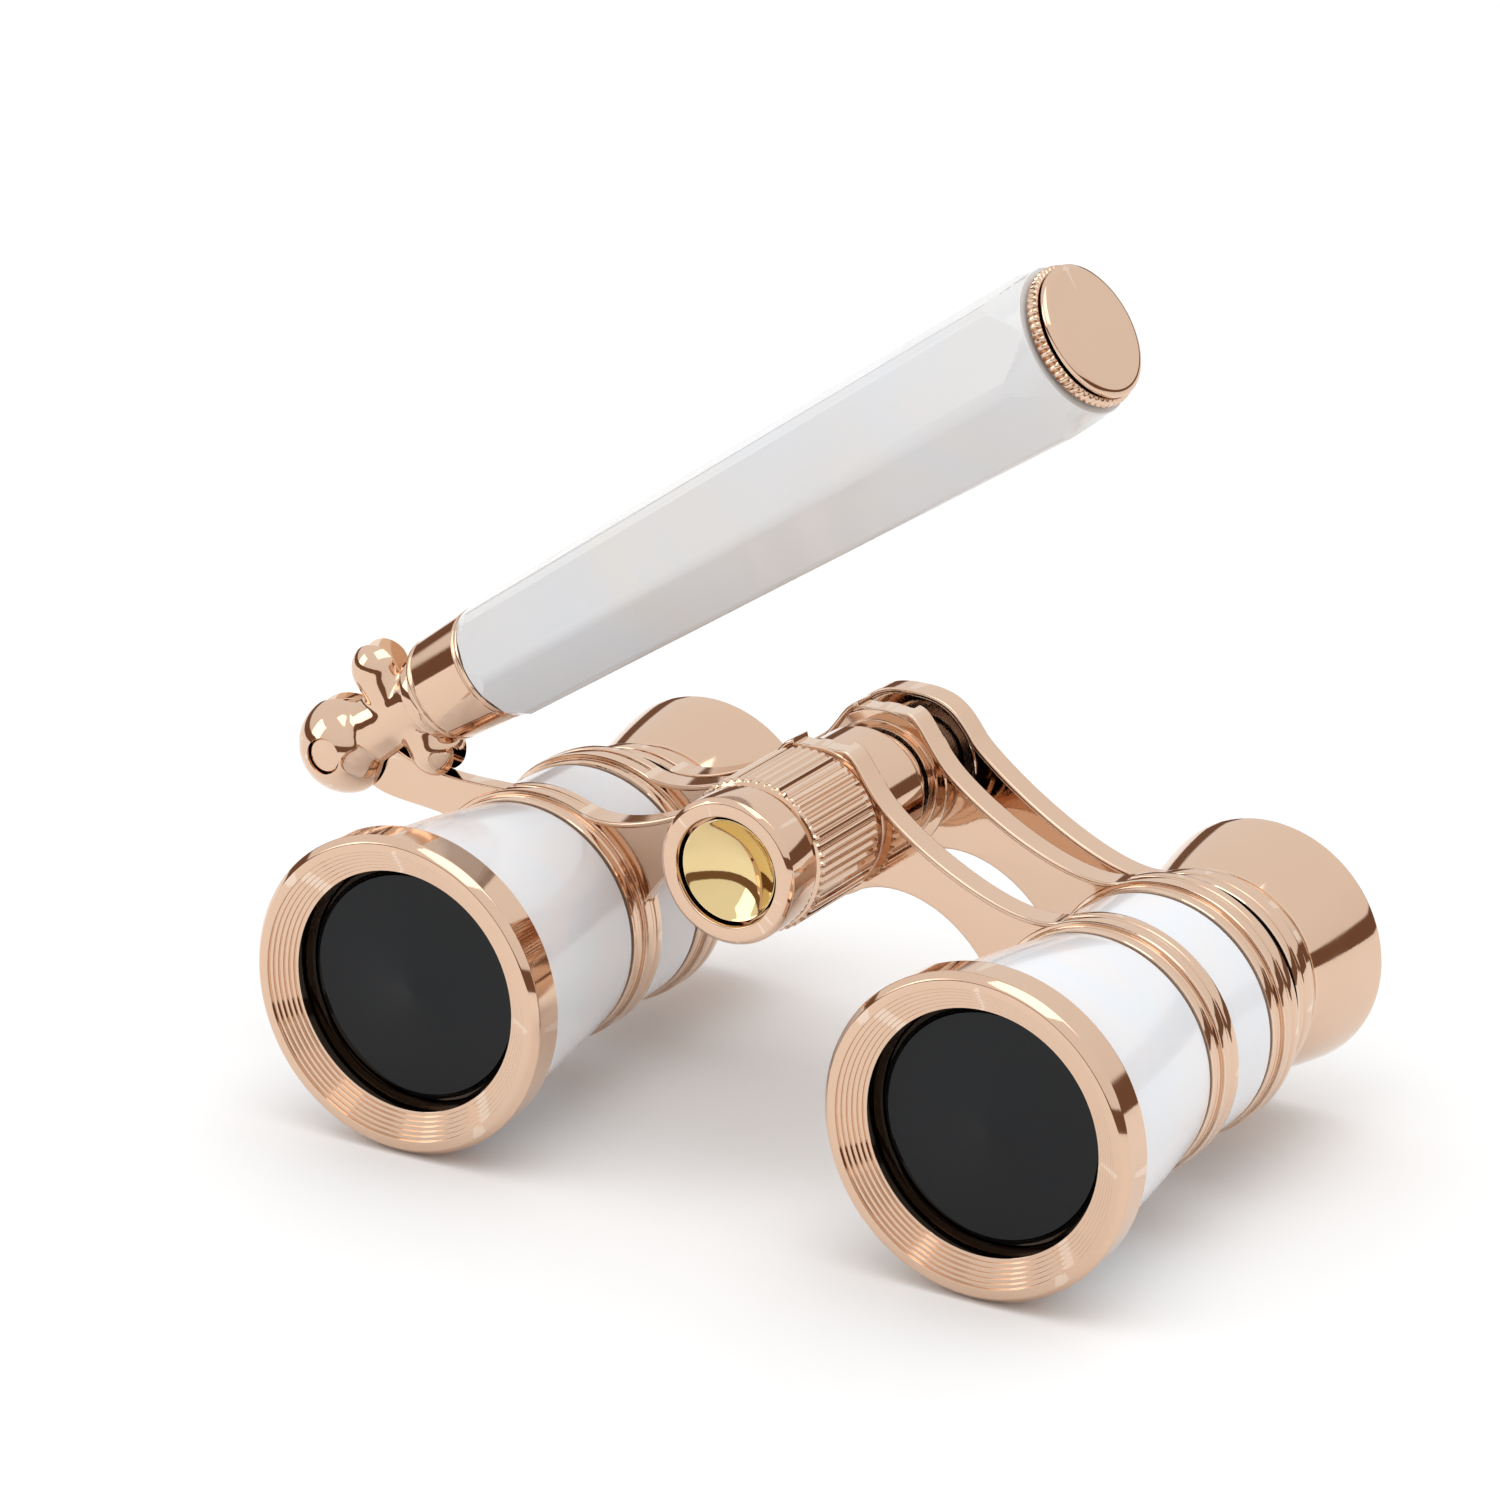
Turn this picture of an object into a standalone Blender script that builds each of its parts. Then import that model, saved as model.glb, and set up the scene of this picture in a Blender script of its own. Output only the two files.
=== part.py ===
"""Opera glasses: a Galilean pair with a centre focusing screw and a folding side handle.

X runs across the two barrels, Y along them from objectives to eyepieces, Z is up.
The sizes below are millimetres; everything is built in metres.
"""
import math

import bmesh
import bpy
from mathutils import Matrix, Vector

MM = 0.001
STEPS = 32                 # facets round a barrel-sized turned piece
STEPS_SMALL = 20           # facets round a shaft-sized turned piece
GAP = 0.3                  # left between two pieces that touch

# Driving dimensions of the body.
BARREL_X = 31.5            # each optical axis from the middle plane
RIM_FRONT_R = 15.8
RIM_BACK_R = 16.0
RIM_LENGTH = 4.1
LENS_OPENING_R = 11.8
SHELL_FRONT_R = 14.6
SHELL_BACK_R = 12.3
FLARE = ((9.5, 13.6), (15.5, 12.7))        # stations and radii between the front shell's ends
REAR_SHELL_R = 12.3
WALL = 1.2
LENS_SEAT_Y = 2.4
BODY_TUBE_START = 9.0
BRIDGE_THICK = 2.9
FRONT_BRIDGE_Y = 24.9      # front face of each bridge plate
REAR_BRIDGE_Y = 37.0
EYEPIECE_BRIDGE_Y = 42.7
BAND_LENGTH = 1.6          # the lower step in front of a fixed plate's rings
BAND_R = 12.5
RING_R = 12.9
EYEPIECE_RING_R = 11.4
EYEPIECE_ARM_RISE = 0.8    # the sliding plate's arms stand higher than the fixed ones'
TUBE_R = 10.7
EYE_TUBE_R = 9.3
EYECUP_BACK_Y = 58.1
EYECUP_FRONT_R = 10.3
EYECUP_BACK_R = 12.5
CUP_WEB_Y = 48.6           # front face of the web across the eyecup
EYE_HOLE_R = 6.5

# Driving dimensions of the focusing gear, whose axis is above the barrels.
FOCUS_Z = 16.7
KNOB_FRONT_Y = 8.3
KNOB_COLLAR_R = 7.2
KNOB_COLLAR_LENGTH = 4.5
KNOB_GRIP_R = 7.6
KNOB_FLUTES = 54
FLUTE_DEPTH = 0.25
DISH_R = 5.0
DISH_BACK_Y = 11.0
SPINDLE_R = 2.6
DRIVE_R = 3.9
SLEEVE_R = 6.5
HUB_R = 7.9
HUB_TOP_Z = 24.2
HUB_BORE_R = 5.4
BRIDGE_SCREW_R = 1.8

# Driving dimensions of the handle, measured along it from its pivot.
PIVOT = Vector((-54.0, FRONT_BRIDGE_Y + BRIDGE_THICK / 2, 13.1))
HANDLE_ANGLE = 34.7        # degrees above the horizontal
EYE_R = 4.2                # eye of the arm
TONGUE_REACH = 13.05       # the arm is thinner inside this radius
TONGUE_THICK = 2.0
SLOT_WIDTH = 2.6
BALL_R = 5.0
LOBE_R = 2.35
UPPER_LOBE = (8.1, 5.0)    # along the handle and out from its axis
LOWER_LOBE = (9.6, -4.6)
CROSSBAR_R = 1.9
NECK_R = 3.4
COLLAR_START = 11.6
COLLAR_END = 13.1
COLLAR_R = 4.4
SPIGOT_R = 3.0
SPIGOT_END = 18.0
FERRULE_END = 21.3
FERRULE_NEAR_R = 5.3
FERRULE_FAR_R = 5.8
GRIP_END = 96.8
GRIP_NEAR_FLAT = 5.8       # half the distance across flats
GRIP_FAR_FLAT = 7.4
GRIP_ROLL = 8.0            # degrees
END_RING_R = 7.0
END_RING_END = 98.4
END_CAP_R = 6.6
END_CAP_END = 99.4
PIN_R = 1.5
PIN_HEAD_R = 1.75
ROD_R = 1.5

# The origin is under the middle of the whole object, on the plane of its lowest points.
LEFT_END = PIVOT.x - BALL_R
RIGHT_END = BARREL_X + RIM_BACK_R
ORIGIN = Vector(((LEFT_END + RIGHT_END) / 2, EYECUP_BACK_Y / 2, -RIM_BACK_R))


def clear_scene():
    for obj in list(bpy.data.objects):
        bpy.data.objects.remove(obj, do_unlink=True)


clear_scene()
parts = bpy.data.collections.new("opera_glasses")
cutters = bpy.data.collections.new("cutters")
for collection in (parts, cutters):
    bpy.context.scene.collection.children.link(collection)


def finish(name, colour, metallic, roughness):
    material = bpy.data.materials.new(name)
    material.use_nodes = True
    shader = material.node_tree.nodes["Principled BSDF"]
    shader.inputs["Base Color"].default_value = (*colour, 1.0)
    shader.inputs["Metallic"].default_value = metallic
    shader.inputs["Roughness"].default_value = roughness
    return material


ROSE_GOLD = finish("rose_gold", (0.80, 0.53, 0.37), 1.0, 0.18)
YELLOW_GOLD = finish("yellow_gold", (0.82, 0.62, 0.30), 1.0, 0.15)
WHITE_ENAMEL = finish("white_enamel", (0.88, 0.88, 0.90), 0.0, 0.15)
BLACK_METAL = finish("black_metal", (0.02, 0.02, 0.02), 0.0, 0.45)
STEEL = finish("steel", (0.55, 0.55, 0.56), 1.0, 0.30)
GLASS = finish("glass", (0.05, 0.05, 0.06), 0.0, 0.03)

# Empties: the origin, one barrel axis each side, the focusing axis and the handle's pivot.


def empty(name, location, parent=None, rotation=(0.0, 0.0, 0.0)):
    obj = bpy.data.objects.new(name, None)
    obj.location = location
    obj.rotation_euler = rotation
    obj.parent = parent
    parts.objects.link(obj)
    return obj


body_frame = empty("body_frame", -ORIGIN * MM)
left_axis = empty("left_axis", Vector((-BARREL_X, 0, 0)) * MM, body_frame)
right_axis = empty("right_axis", Vector((BARREL_X, 0, 0)) * MM, body_frame)
focus_axis = empty("focus_axis", Vector((0, 0, FOCUS_Z)) * MM, body_frame)
handle_axis = empty("handle_axis", PIVOT * MM, body_frame, (0, -math.radians(HANDLE_ANGLE), 0))

ALONG_Y = (-math.pi / 2, 0, 0)        # turns a shape made along Z to lie along Y
ALONG_X = (0, math.pi / 2, 0)         # turns a shape made along Z to lie along X


def place(obj, material, parent, rotation, collection=parts):
    obj.parent = parent
    obj.rotation_euler = rotation
    if material:
        obj.data.materials.append(material)
    collection.objects.link(obj)
    return obj


def turned(name, profile, material, parent, rotation=ALONG_Y, steps=STEPS, collection=parts):
    """A turned piece. The profile is (station, radius) pairs, down the outside from the far
    end to the near one and back up the inside; one that touches the axis is left open."""
    mesh = bpy.data.meshes.new(name)
    points = [(radius * MM, 0, station * MM) for station, radius in profile]
    edges = [(i, i + 1) for i in range(len(points) - 1)]
    if profile[0][1] > 0:
        edges.append((len(points) - 1, 0))
    mesh.from_pydata(points, edges, [])
    obj = bpy.data.objects.new(name, mesh)
    screw = obj.modifiers.new("turn", "SCREW")
    screw.axis = "Z"
    screw.steps = steps
    screw.render_steps = steps
    screw.use_merge_vertices = True
    screw.merge_threshold = 1e-5
    screw.use_smooth_shade = False
    return place(obj, material, parent, rotation, collection)


def tube(start, end, outer, inner):
    """The profile of a plain tube."""
    return [(end, outer), (start, outer), (start, inner), (end, inner)]


def rod(start, end, radius):
    """The profile of a plain solid rod."""
    return [(end, 0), (end, radius), (start, radius), (start, 0)]


def boolean(obj, other, operation):
    """Joins a tool to obj, or cuts obj with it, and hides the tool."""
    modifier = obj.modifiers.new(other.name, "BOOLEAN")
    modifier.operation = operation
    modifier.solver = "EXACT"
    modifier.object = other
    other.hide_render = True
    other.display_type = "WIRE"


def tool_turned(name, profile, parent, rotation=ALONG_Y, steps=STEPS):
    return turned(name, profile, None, parent, rotation, steps, cutters)


# Barrels: ten pieces on each side, the same left and right.


def barrel(side, axis):
    lens_seat_r = LENS_OPENING_R + 0.8
    turned(f"objective_ring_{side}", [
        (RIM_LENGTH, RIM_BACK_R), (0.5, RIM_FRONT_R), (0, RIM_FRONT_R - 0.4), (0, RIM_FRONT_R - 0.9),
        (1.7, LENS_OPENING_R), (LENS_SEAT_Y, LENS_OPENING_R), (LENS_SEAT_Y, lens_seat_r),
        (RIM_LENGTH, lens_seat_r),
    ], ROSE_GOLD, axis)
    lens_r = lens_seat_r - GAP
    turned(f"objective_lens_{side}", [
        (6.3, 0), (5.9, lens_r * 0.6), (5.2, lens_r - 0.2), (2.9, lens_r - 0.2), (2.2, lens_r * 0.6),
        (1.9, 0),
    ], GLASS, axis)
    shell_end = FRONT_BRIDGE_Y - BAND_LENGTH - GAP
    turned(f"front_shell_{side}", [
        (shell_end, SHELL_BACK_R), *reversed(FLARE), (RIM_LENGTH + GAP, SHELL_FRONT_R),
        (RIM_LENGTH + GAP, SHELL_FRONT_R - WALL), *[(y, r - WALL) for y, r in FLARE],
        (shell_end, SHELL_BACK_R - WALL),
    ], WHITE_ENAMEL, axis)
    turned(f"lens_retainer_{side}", tube(6.6, 8.2, 12.1, 10.8), BLACK_METAL, axis)
    body_tube = tube(BODY_TUBE_START, REAR_BRIDGE_Y + BRIDGE_THICK, TUBE_R, TUBE_R - 0.7)
    turned(f"body_tube_{side}", body_tube, BLACK_METAL, axis)
    shell_start = FRONT_BRIDGE_Y + BRIDGE_THICK + GAP
    shell_end = REAR_BRIDGE_Y - BAND_LENGTH - GAP
    rear_shell = tube(shell_start, shell_end, REAR_SHELL_R, REAR_SHELL_R - WALL)
    turned(f"rear_shell_{side}", rear_shell, WHITE_ENAMEL, axis)
    turned(f"eyepiece_tube_{side}", [
        (48.0, EYE_TUBE_R), (29.0, EYE_TUBE_R), (29.0, 8.3), (44.0, 8.3), (44.0, 6.9), (44.9, 6.9),
        (44.9, 8.0), (48.0, 8.0),
    ], BLACK_METAL, axis)
    turned(f"ocular_lens_{side}", [
        (46.9, 0), (46.9, 2.0), (47.4, 7.7), (45.2, 7.7), (45.7, 2.0), (45.7, 0),
    ], GLASS, axis, steps=STEPS_SMALL)
    turned(f"ocular_retainer_{side}", tube(47.7, 48.3, 7.7, 6.7), BLACK_METAL, axis, steps=STEPS_SMALL)
    cup_start = EYEPIECE_BRIDGE_Y + BRIDGE_THICK + GAP
    turned(f"eyecup_{side}", [
        (EYECUP_BACK_Y, EYECUP_BACK_R), (52.0, 11.0), (cup_start, EYECUP_FRONT_R),
        (cup_start, EYE_TUBE_R + GAP), (CUP_WEB_Y, EYE_TUBE_R + GAP), (CUP_WEB_Y, EYE_HOLE_R),
        (CUP_WEB_Y + 1.0, EYE_HOLE_R),
        (EYECUP_BACK_Y - 1.2, EYECUP_BACK_R - 1.0), (EYECUP_BACK_Y, EYECUP_BACK_R - 0.6),
    ], ROSE_GOLD, axis)


for side, axis in (("left", left_axis), ("right", right_axis)):
    barrel(side, axis)

# Bridges: three plates cut from one pattern, each with a ring round each barrel and a hub.


def arc(centre, radius, start, end, count):
    """Points on a circle, from one angle in degrees to another."""
    angles = [math.radians(start + (end - start) * i / count) for i in range(count + 1)]
    return [(centre[0] + radius * math.cos(a), centre[1] + radius * math.sin(a)) for a in angles]


def bezier(a, b, c, d, count):
    """Points on a cubic curve, without its two ends."""
    points = []
    for i in range(1, count):
        t = i / count
        weights = ((1 - t) ** 3, 3 * t * (1 - t) ** 2, 3 * t * t * (1 - t), t ** 3)
        points.append(tuple(sum(w * p[k] for w, p in zip(weights, (a, b, c, d))) for k in (0, 1)))
    return points


ARM_TOP_ANGLE = 112        # where the arm's edges meet the ring, in degrees on the ring
ARM_BOTTOM_ANGLE = -195
HANDLE_ARM_TOP = 85
HANDLE_ARM_BOTTOM = 39.7


def half_outline(ring_r, with_handle_arm, arm_rise):
    """Half of a plate's edge, from the top of the hub round one ring to the foot of the hub."""
    ring = (BARREL_X, 0)

    def on_ring(angle):
        return arc(ring, ring_r, angle, angle, 1)[0]

    shoulder = (2.6 + arm_rise, HUB_TOP_Z)
    waist = (7.0, 19.5 + arm_rise)
    top = on_ring(ARM_TOP_ANGLE)
    points = [shoulder] + bezier(shoulder, (4.4, HUB_TOP_Z), (4.7, 22.0 + arm_rise), waist, 4) + [waist]
    points += bezier(waist, (10.0, 16.3 + arm_rise), (top[0] - 5.5, top[1] - 2.2 + arm_rise), top, 7)
    if with_handle_arm:
        eye = (-PIVOT.x, PIVOT.z)
        points += arc(ring, ring_r, ARM_TOP_ANGLE, HANDLE_ARM_TOP, 2)
        eye_arc = arc(eye, EYE_R, 138, -130, 12)
        points += bezier(points[-1], (39.0, 12.4), (46.0, 11.2), eye_arc[0], 6)
        points += eye_arc
        points += bezier(eye_arc[-1], (49.0, 8.7), (45.5, 9.8), on_ring(HANDLE_ARM_BOTTOM), 4)
        points += arc(ring, ring_r, HANDLE_ARM_BOTTOM, ARM_BOTTOM_ANGLE, 20)
    else:
        points += arc(ring, ring_r, ARM_TOP_ANGLE, ARM_BOTTOM_ANGLE, 26)
    foot = arc((0, FOCUS_Z), HUB_R, -53.5, -90, 4)
    points += bezier(points[-1], (16.6, 9.7), (9.5, 12.7), foot[0], 7)
    return points + foot


def plate(name, outline, holes, front_y, parent):
    """A flat plate with its outline and holes in X and Z, as one closed mesh."""
    curve = bpy.data.curves.new(name, "CURVE")
    curve.dimensions = "2D"
    curve.fill_mode = "BOTH"
    curve.extrude = BRIDGE_THICK / 2 * MM
    for loop in [outline] + holes:
        spline = curve.splines.new("POLY")
        spline.points.add(len(loop) - 1)
        for point, (x, z) in zip(spline.points, loop):
            point.co = (x * MM, z * MM, 0, 1)
        spline.use_cyclic_u = True
    guide = bpy.data.objects.new(name + "_outline", curve)
    parts.objects.link(guide)
    bpy.context.view_layer.update()
    evaluated = guide.evaluated_get(bpy.context.evaluated_depsgraph_get())
    mesh = bpy.data.meshes.new_from_object(evaluated)
    bpy.data.objects.remove(guide, do_unlink=True)
    work = bmesh.new()
    work.from_mesh(mesh)
    bmesh.ops.remove_doubles(work, verts=work.verts, dist=1e-6)
    bmesh.ops.recalc_face_normals(work, faces=work.faces)
    work.to_mesh(mesh)
    work.free()
    mesh.name = name
    mesh.materials.clear()
    obj = bpy.data.objects.new(name, mesh)
    obj.location = (0, (front_y + BRIDGE_THICK / 2) * MM, 0)
    return place(obj, ROSE_GOLD, parent, (math.pi / 2, 0, 0))


def bridge(name, front_y, ring_r, ring_bore_r, hub_bore_r, with_handle_arm=False, arm_rise=0.0):
    right = half_outline(ring_r, False, arm_rise)
    left = [(-x, z) for x, z in half_outline(ring_r, with_handle_arm, arm_rise)]
    outline = right + left[-2::-1]
    holes = [
        arc((-BARREL_X, 0), ring_bore_r, 0, 360, STEPS)[:-1],
        arc((BARREL_X, 0), ring_bore_r, 0, 360, STEPS)[:-1],
        arc((0, FOCUS_Z), hub_bore_r, 0, 360, STEPS_SMALL)[:-1],
    ]
    if with_handle_arm:
        holes.append(arc((PIVOT.x, PIVOT.z), PIN_R + GAP, 0, 360, STEPS_SMALL)[:-1])
    return plate(name, outline, holes, front_y, body_frame)


def add_bands(obj, front_y):
    """The lower step in front of both rings of a fixed plate."""
    for side, axis in (("left", left_axis), ("right", right_axis)):
        profile = tube(front_y - BAND_LENGTH, front_y + 0.5, BAND_R, TUBE_R + GAP)
        boolean(obj, tool_turned(f"{obj.name}_band_{side}", profile, axis), "UNION")


front_bridge = bridge("front_bridge", FRONT_BRIDGE_Y, RING_R, TUBE_R + GAP, HUB_BORE_R, True)
rear_bridge = bridge("rear_bridge", REAR_BRIDGE_Y, RING_R, TUBE_R + GAP, HUB_BORE_R)
eyepiece_bridge = bridge(
    "eyepiece_bridge", EYEPIECE_BRIDGE_Y, EYEPIECE_RING_R, EYE_TUBE_R + GAP, BRIDGE_SCREW_R + GAP,
    arm_rise=EYEPIECE_ARM_RISE)
add_bands(front_bridge, FRONT_BRIDGE_Y)
add_bands(rear_bridge, REAR_BRIDGE_Y)

# The end of the handle arm is thinned on both faces to a tongue that fits the fork.
for name, start, end in (("tongue_front", -5.0, -TONGUE_THICK / 2), ("tongue_back", TONGUE_THICK / 2, 5.0)):
    boolean(front_bridge, tool_turned(name, rod(start, end, TONGUE_REACH), handle_axis), "DIFFERENCE")

# Focusing gear: the knob turns the spindle, and the drive tube moves the eyepiece bridge.
SLEEVE_START = FRONT_BRIDGE_Y + BRIDGE_THICK + GAP
SLEEVE_END = REAR_BRIDGE_Y - GAP
DRIVE_START = 30.4         # leaves 2 mm of travel forwards
DRIVE_FLOOR = 41.2
SPINDLE_END = 38.9
SLEEVE_NECK_R = 5.2
turned("focus_sleeve", [
    (SLEEVE_END, SLEEVE_NECK_R), (SLEEVE_END - 1.8, SLEEVE_NECK_R), (SLEEVE_END - 2.3, SLEEVE_R),
    (SLEEVE_START, SLEEVE_R),
    (SLEEVE_START, DRIVE_R + GAP), (SLEEVE_END, DRIVE_R + GAP),
], ROSE_GOLD, focus_axis, steps=STEPS_SMALL)
for name, front_y, bore_r in (
        ("spindle_bearing", FRONT_BRIDGE_Y, SPINDLE_R + GAP), ("slide_bush", REAR_BRIDGE_Y, DRIVE_R + GAP)):
    bush = tube(front_y, front_y + BRIDGE_THICK, HUB_BORE_R - GAP, bore_r)
    turned(name, bush, STEEL, focus_axis, steps=STEPS_SMALL)
SPINDLE_START = 11.6
turned("focus_spindle", rod(SPINDLE_START, SPINDLE_END, SPINDLE_R), STEEL, focus_axis, steps=STEPS_SMALL)
turned("drive_tube", [
    (EYEPIECE_BRIDGE_Y - GAP, 0), (EYEPIECE_BRIDGE_Y - GAP, DRIVE_R), (DRIVE_START, DRIVE_R),
    (DRIVE_START, SPINDLE_R + GAP), (DRIVE_FLOOR, SPINDLE_R + GAP), (DRIVE_FLOOR, 0),
], STEEL, focus_axis, steps=STEPS_SMALL)
turned("bridge_screw", [
    (47.4, 0), (47.4, 3.2), (46.8, 4.2), (46.0, 4.2), (46.0, BRIDGE_SCREW_R), (43.0, BRIDGE_SCREW_R),
    (43.0, 0),
], ROSE_GOLD, focus_axis, steps=STEPS_SMALL)


def focus_knob():
    """The turned knob; every other row of its grip is let in to make the flutes."""
    grip_start = KNOB_FRONT_Y + KNOB_COLLAR_LENGTH
    grip_end = FRONT_BRIDGE_Y - GAP
    knob = turned("focus_knob", [
        (grip_end, KNOB_GRIP_R - 0.4), (grip_end - 0.5, KNOB_GRIP_R), (grip_start + 0.4, KNOB_GRIP_R),
        (grip_start, KNOB_COLLAR_R - 0.4), (grip_start - 0.4, KNOB_COLLAR_R),
        (KNOB_FRONT_Y + 0.4, KNOB_COLLAR_R), (KNOB_FRONT_Y, KNOB_COLLAR_R - 0.4),
        (KNOB_FRONT_Y, DISH_R + GAP), (DISH_BACK_Y + GAP, DISH_R + GAP), (DISH_BACK_Y + GAP, SPINDLE_R + GAP),
        (grip_end, SPINDLE_R + GAP),
    ], None, focus_axis, steps=2 * KNOB_FLUTES, collection=cutters)
    bpy.context.view_layer.update()
    evaluated = knob.evaluated_get(bpy.context.evaluated_depsgraph_get())
    mesh = bpy.data.meshes.new_from_object(evaluated)
    bpy.data.objects.remove(knob, do_unlink=True)
    for vertex in mesh.vertices:
        radius = math.hypot(vertex.co.x, vertex.co.y)
        row = round(math.atan2(vertex.co.y, vertex.co.x) / (math.pi / KNOB_FLUTES))
        if radius > (KNOB_GRIP_R - 0.01) * MM and row % 2:
            vertex.co.x *= 1 - FLUTE_DEPTH / KNOB_GRIP_R
            vertex.co.y *= 1 - FLUTE_DEPTH / KNOB_GRIP_R
    mesh.name = "focus_knob"
    obj = bpy.data.objects.new("focus_knob", mesh)
    return place(obj, ROSE_GOLD, focus_axis, ALONG_Y)


focus_knob()
turned("knob_dish", [
    (DISH_BACK_Y, 0), (DISH_BACK_Y, DISH_R), (9.0, DISH_R), (9.2, DISH_R - 0.5), (10.0, 3.0), (10.3, 0),
], YELLOW_GOLD, focus_axis, steps=STEPS_SMALL)

# Handle: a fork with a ball and two side lobes, a ferrule, the six-sided grip and its end.


def ball(name, radius, location):
    mesh = bpy.data.meshes.new(name)
    work = bmesh.new()
    bmesh.ops.create_uvsphere(work, u_segments=20, v_segments=12, radius=radius * MM)
    bmesh.ops.translate(work, verts=work.verts, vec=Vector(location) * MM)
    work.to_mesh(mesh)
    work.free()
    return place(bpy.data.objects.new(name, mesh), None, handle_axis, (0, 0, 0), cutters)


def block(name, low, high):
    """A plain box between two corners, in the handle's frame."""
    size = Vector(high) - Vector(low)
    mesh = bpy.data.meshes.new(name)
    work = bmesh.new()
    shape = Matrix.Translation((Vector(high) + Vector(low)) / 2 * MM) @ Matrix.Diagonal((*(size * MM), 1))
    bmesh.ops.create_cube(work, size=1, matrix=shape)
    work.to_mesh(mesh)
    work.free()
    return place(bpy.data.objects.new(name, mesh), None, handle_axis, (0, 0, 0), cutters)


# The fork: stem, ball and lobes joined, then slotted for the tongue and bored for pin and rod.
yoke = turned("hinge_yoke", [
    (SPIGOT_END, 0), (SPIGOT_END, SPIGOT_R), (COLLAR_END, SPIGOT_R), (COLLAR_END, COLLAR_R - 0.4),
    (COLLAR_END - 0.4, COLLAR_R), (COLLAR_START + 0.3, COLLAR_R), (COLLAR_START, COLLAR_R - 0.5),
    (COLLAR_START - 0.6, NECK_R), (2.0, NECK_R), (2.0, 0),
], ROSE_GOLD, handle_axis, ALONG_X, steps=STEPS_SMALL)
boolean(yoke, ball("yoke_ball", BALL_R, (0, 0, 0)), "UNION")
lobe_span = Vector(UPPER_LOBE) - Vector(LOWER_LOBE)
crossbar_lean = (0, math.atan2(lobe_span.x, lobe_span.y), 0)
crossbar = tool_turned("yoke_crossbar", rod(0, lobe_span.length, CROSSBAR_R), handle_axis, crossbar_lean,
                       STEPS_SMALL)
crossbar.location = Vector((LOWER_LOBE[0], 0, LOWER_LOBE[1])) * MM
boolean(yoke, crossbar, "UNION")
for name, (along, out) in (("upper", UPPER_LOBE), ("lower", LOWER_LOBE)):
    boolean(yoke, ball(f"yoke_lobe_{name}", LOBE_R, (along, 0, out)), "UNION")
slot_end = LOWER_LOBE[0] + LOBE_R + 0.05
slot = block("yoke_slot", (-7, -SLOT_WIDTH / 2, -9), (slot_end, SLOT_WIDTH / 2, 9))
boolean(yoke, slot, "DIFFERENCE")
PIN_FRONT = -4.6           # across the fork, the pin's head and nut are let into the ball
PIN_BACK = 4.2
HEAD_THICK = 0.9
NUT_THICK = 1.0
NUT_R = 2.2
HEAD_SEAT = PIN_FRONT + HEAD_THICK + GAP
NUT_SEAT = PIN_BACK - NUT_THICK - GAP
pin_bore = [
    (6, 0), (6, NUT_R + GAP), (NUT_SEAT, NUT_R + GAP), (NUT_SEAT, PIN_R + GAP), (HEAD_SEAT, PIN_R + GAP),
    (HEAD_SEAT, PIN_HEAD_R + GAP), (-6, PIN_HEAD_R + GAP), (-6, 0),
]
boolean(yoke, tool_turned("yoke_pin_bore", pin_bore, handle_axis, ALONG_Y, STEPS_SMALL), "DIFFERENCE")
ROD_START = COLLAR_END + 0.6
rod_bore = rod(ROD_START - GAP, SPIGOT_END + 1, ROD_R + GAP)
boolean(yoke, tool_turned("yoke_rod_bore", rod_bore, handle_axis, ALONG_X, STEPS_SMALL), "DIFFERENCE")

turned("hinge_pin", [
    (PIN_BACK, 0), (PIN_BACK, PIN_R), (PIN_FRONT + HEAD_THICK, PIN_R), (PIN_FRONT + HEAD_THICK, PIN_HEAD_R),
    (PIN_FRONT, PIN_HEAD_R), (PIN_FRONT, 0),
], ROSE_GOLD, handle_axis, ALONG_Y, STEPS_SMALL)
turned("hinge_nut", tube(PIN_BACK - NUT_THICK, PIN_BACK, NUT_R, PIN_R + GAP), STEEL, handle_axis, ALONG_Y,
       STEPS_SMALL)
FERRULE_START = COLLAR_END + GAP
turned("ferrule", [
    (FERRULE_END, FERRULE_FAR_R), (FERRULE_START, FERRULE_NEAR_R), (FERRULE_START, SPIGOT_R + GAP),
    (SPIGOT_END + GAP, SPIGOT_R + GAP),
    (SPIGOT_END + GAP, ROD_R + GAP), (FERRULE_END, ROD_R + GAP),
], ROSE_GOLD, handle_axis, ALONG_X)


def hex_grip():
    """The tapered six-sided grip, bored through for the tie rod."""
    start = FERRULE_END + GAP
    to_corner = 1 / math.cos(math.radians(30))
    mesh = bpy.data.meshes.new("grip")
    work = bmesh.new()
    bmesh.ops.create_cone(
        work, cap_ends=True, segments=6, radius1=GRIP_NEAR_FLAT * to_corner * MM,
        radius2=GRIP_FAR_FLAT * to_corner * MM, depth=(GRIP_END - start) * MM)
    bmesh.ops.translate(work, verts=work.verts, vec=(0, 0, (GRIP_END + start) / 2 * MM))
    # A corner of the section faces along the hinge axis, less the roll.
    bmesh.ops.rotate(work, verts=work.verts, matrix=Matrix.Rotation(math.radians(GRIP_ROLL), 3, "Z"))
    work.to_mesh(mesh)
    work.free()
    obj = place(bpy.data.objects.new("grip", mesh), WHITE_ENAMEL, handle_axis, ALONG_X)
    edge = obj.modifiers.new("edge", "BEVEL")
    edge.width = 0.5 * MM
    edge.segments = 1
    bore_profile = rod(start - 1, GRIP_END + 1, ROD_R + GAP)
    bore = tool_turned("grip_bore", bore_profile, handle_axis, ALONG_X, STEPS_SMALL)
    boolean(obj, bore, "DIFFERENCE")


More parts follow.
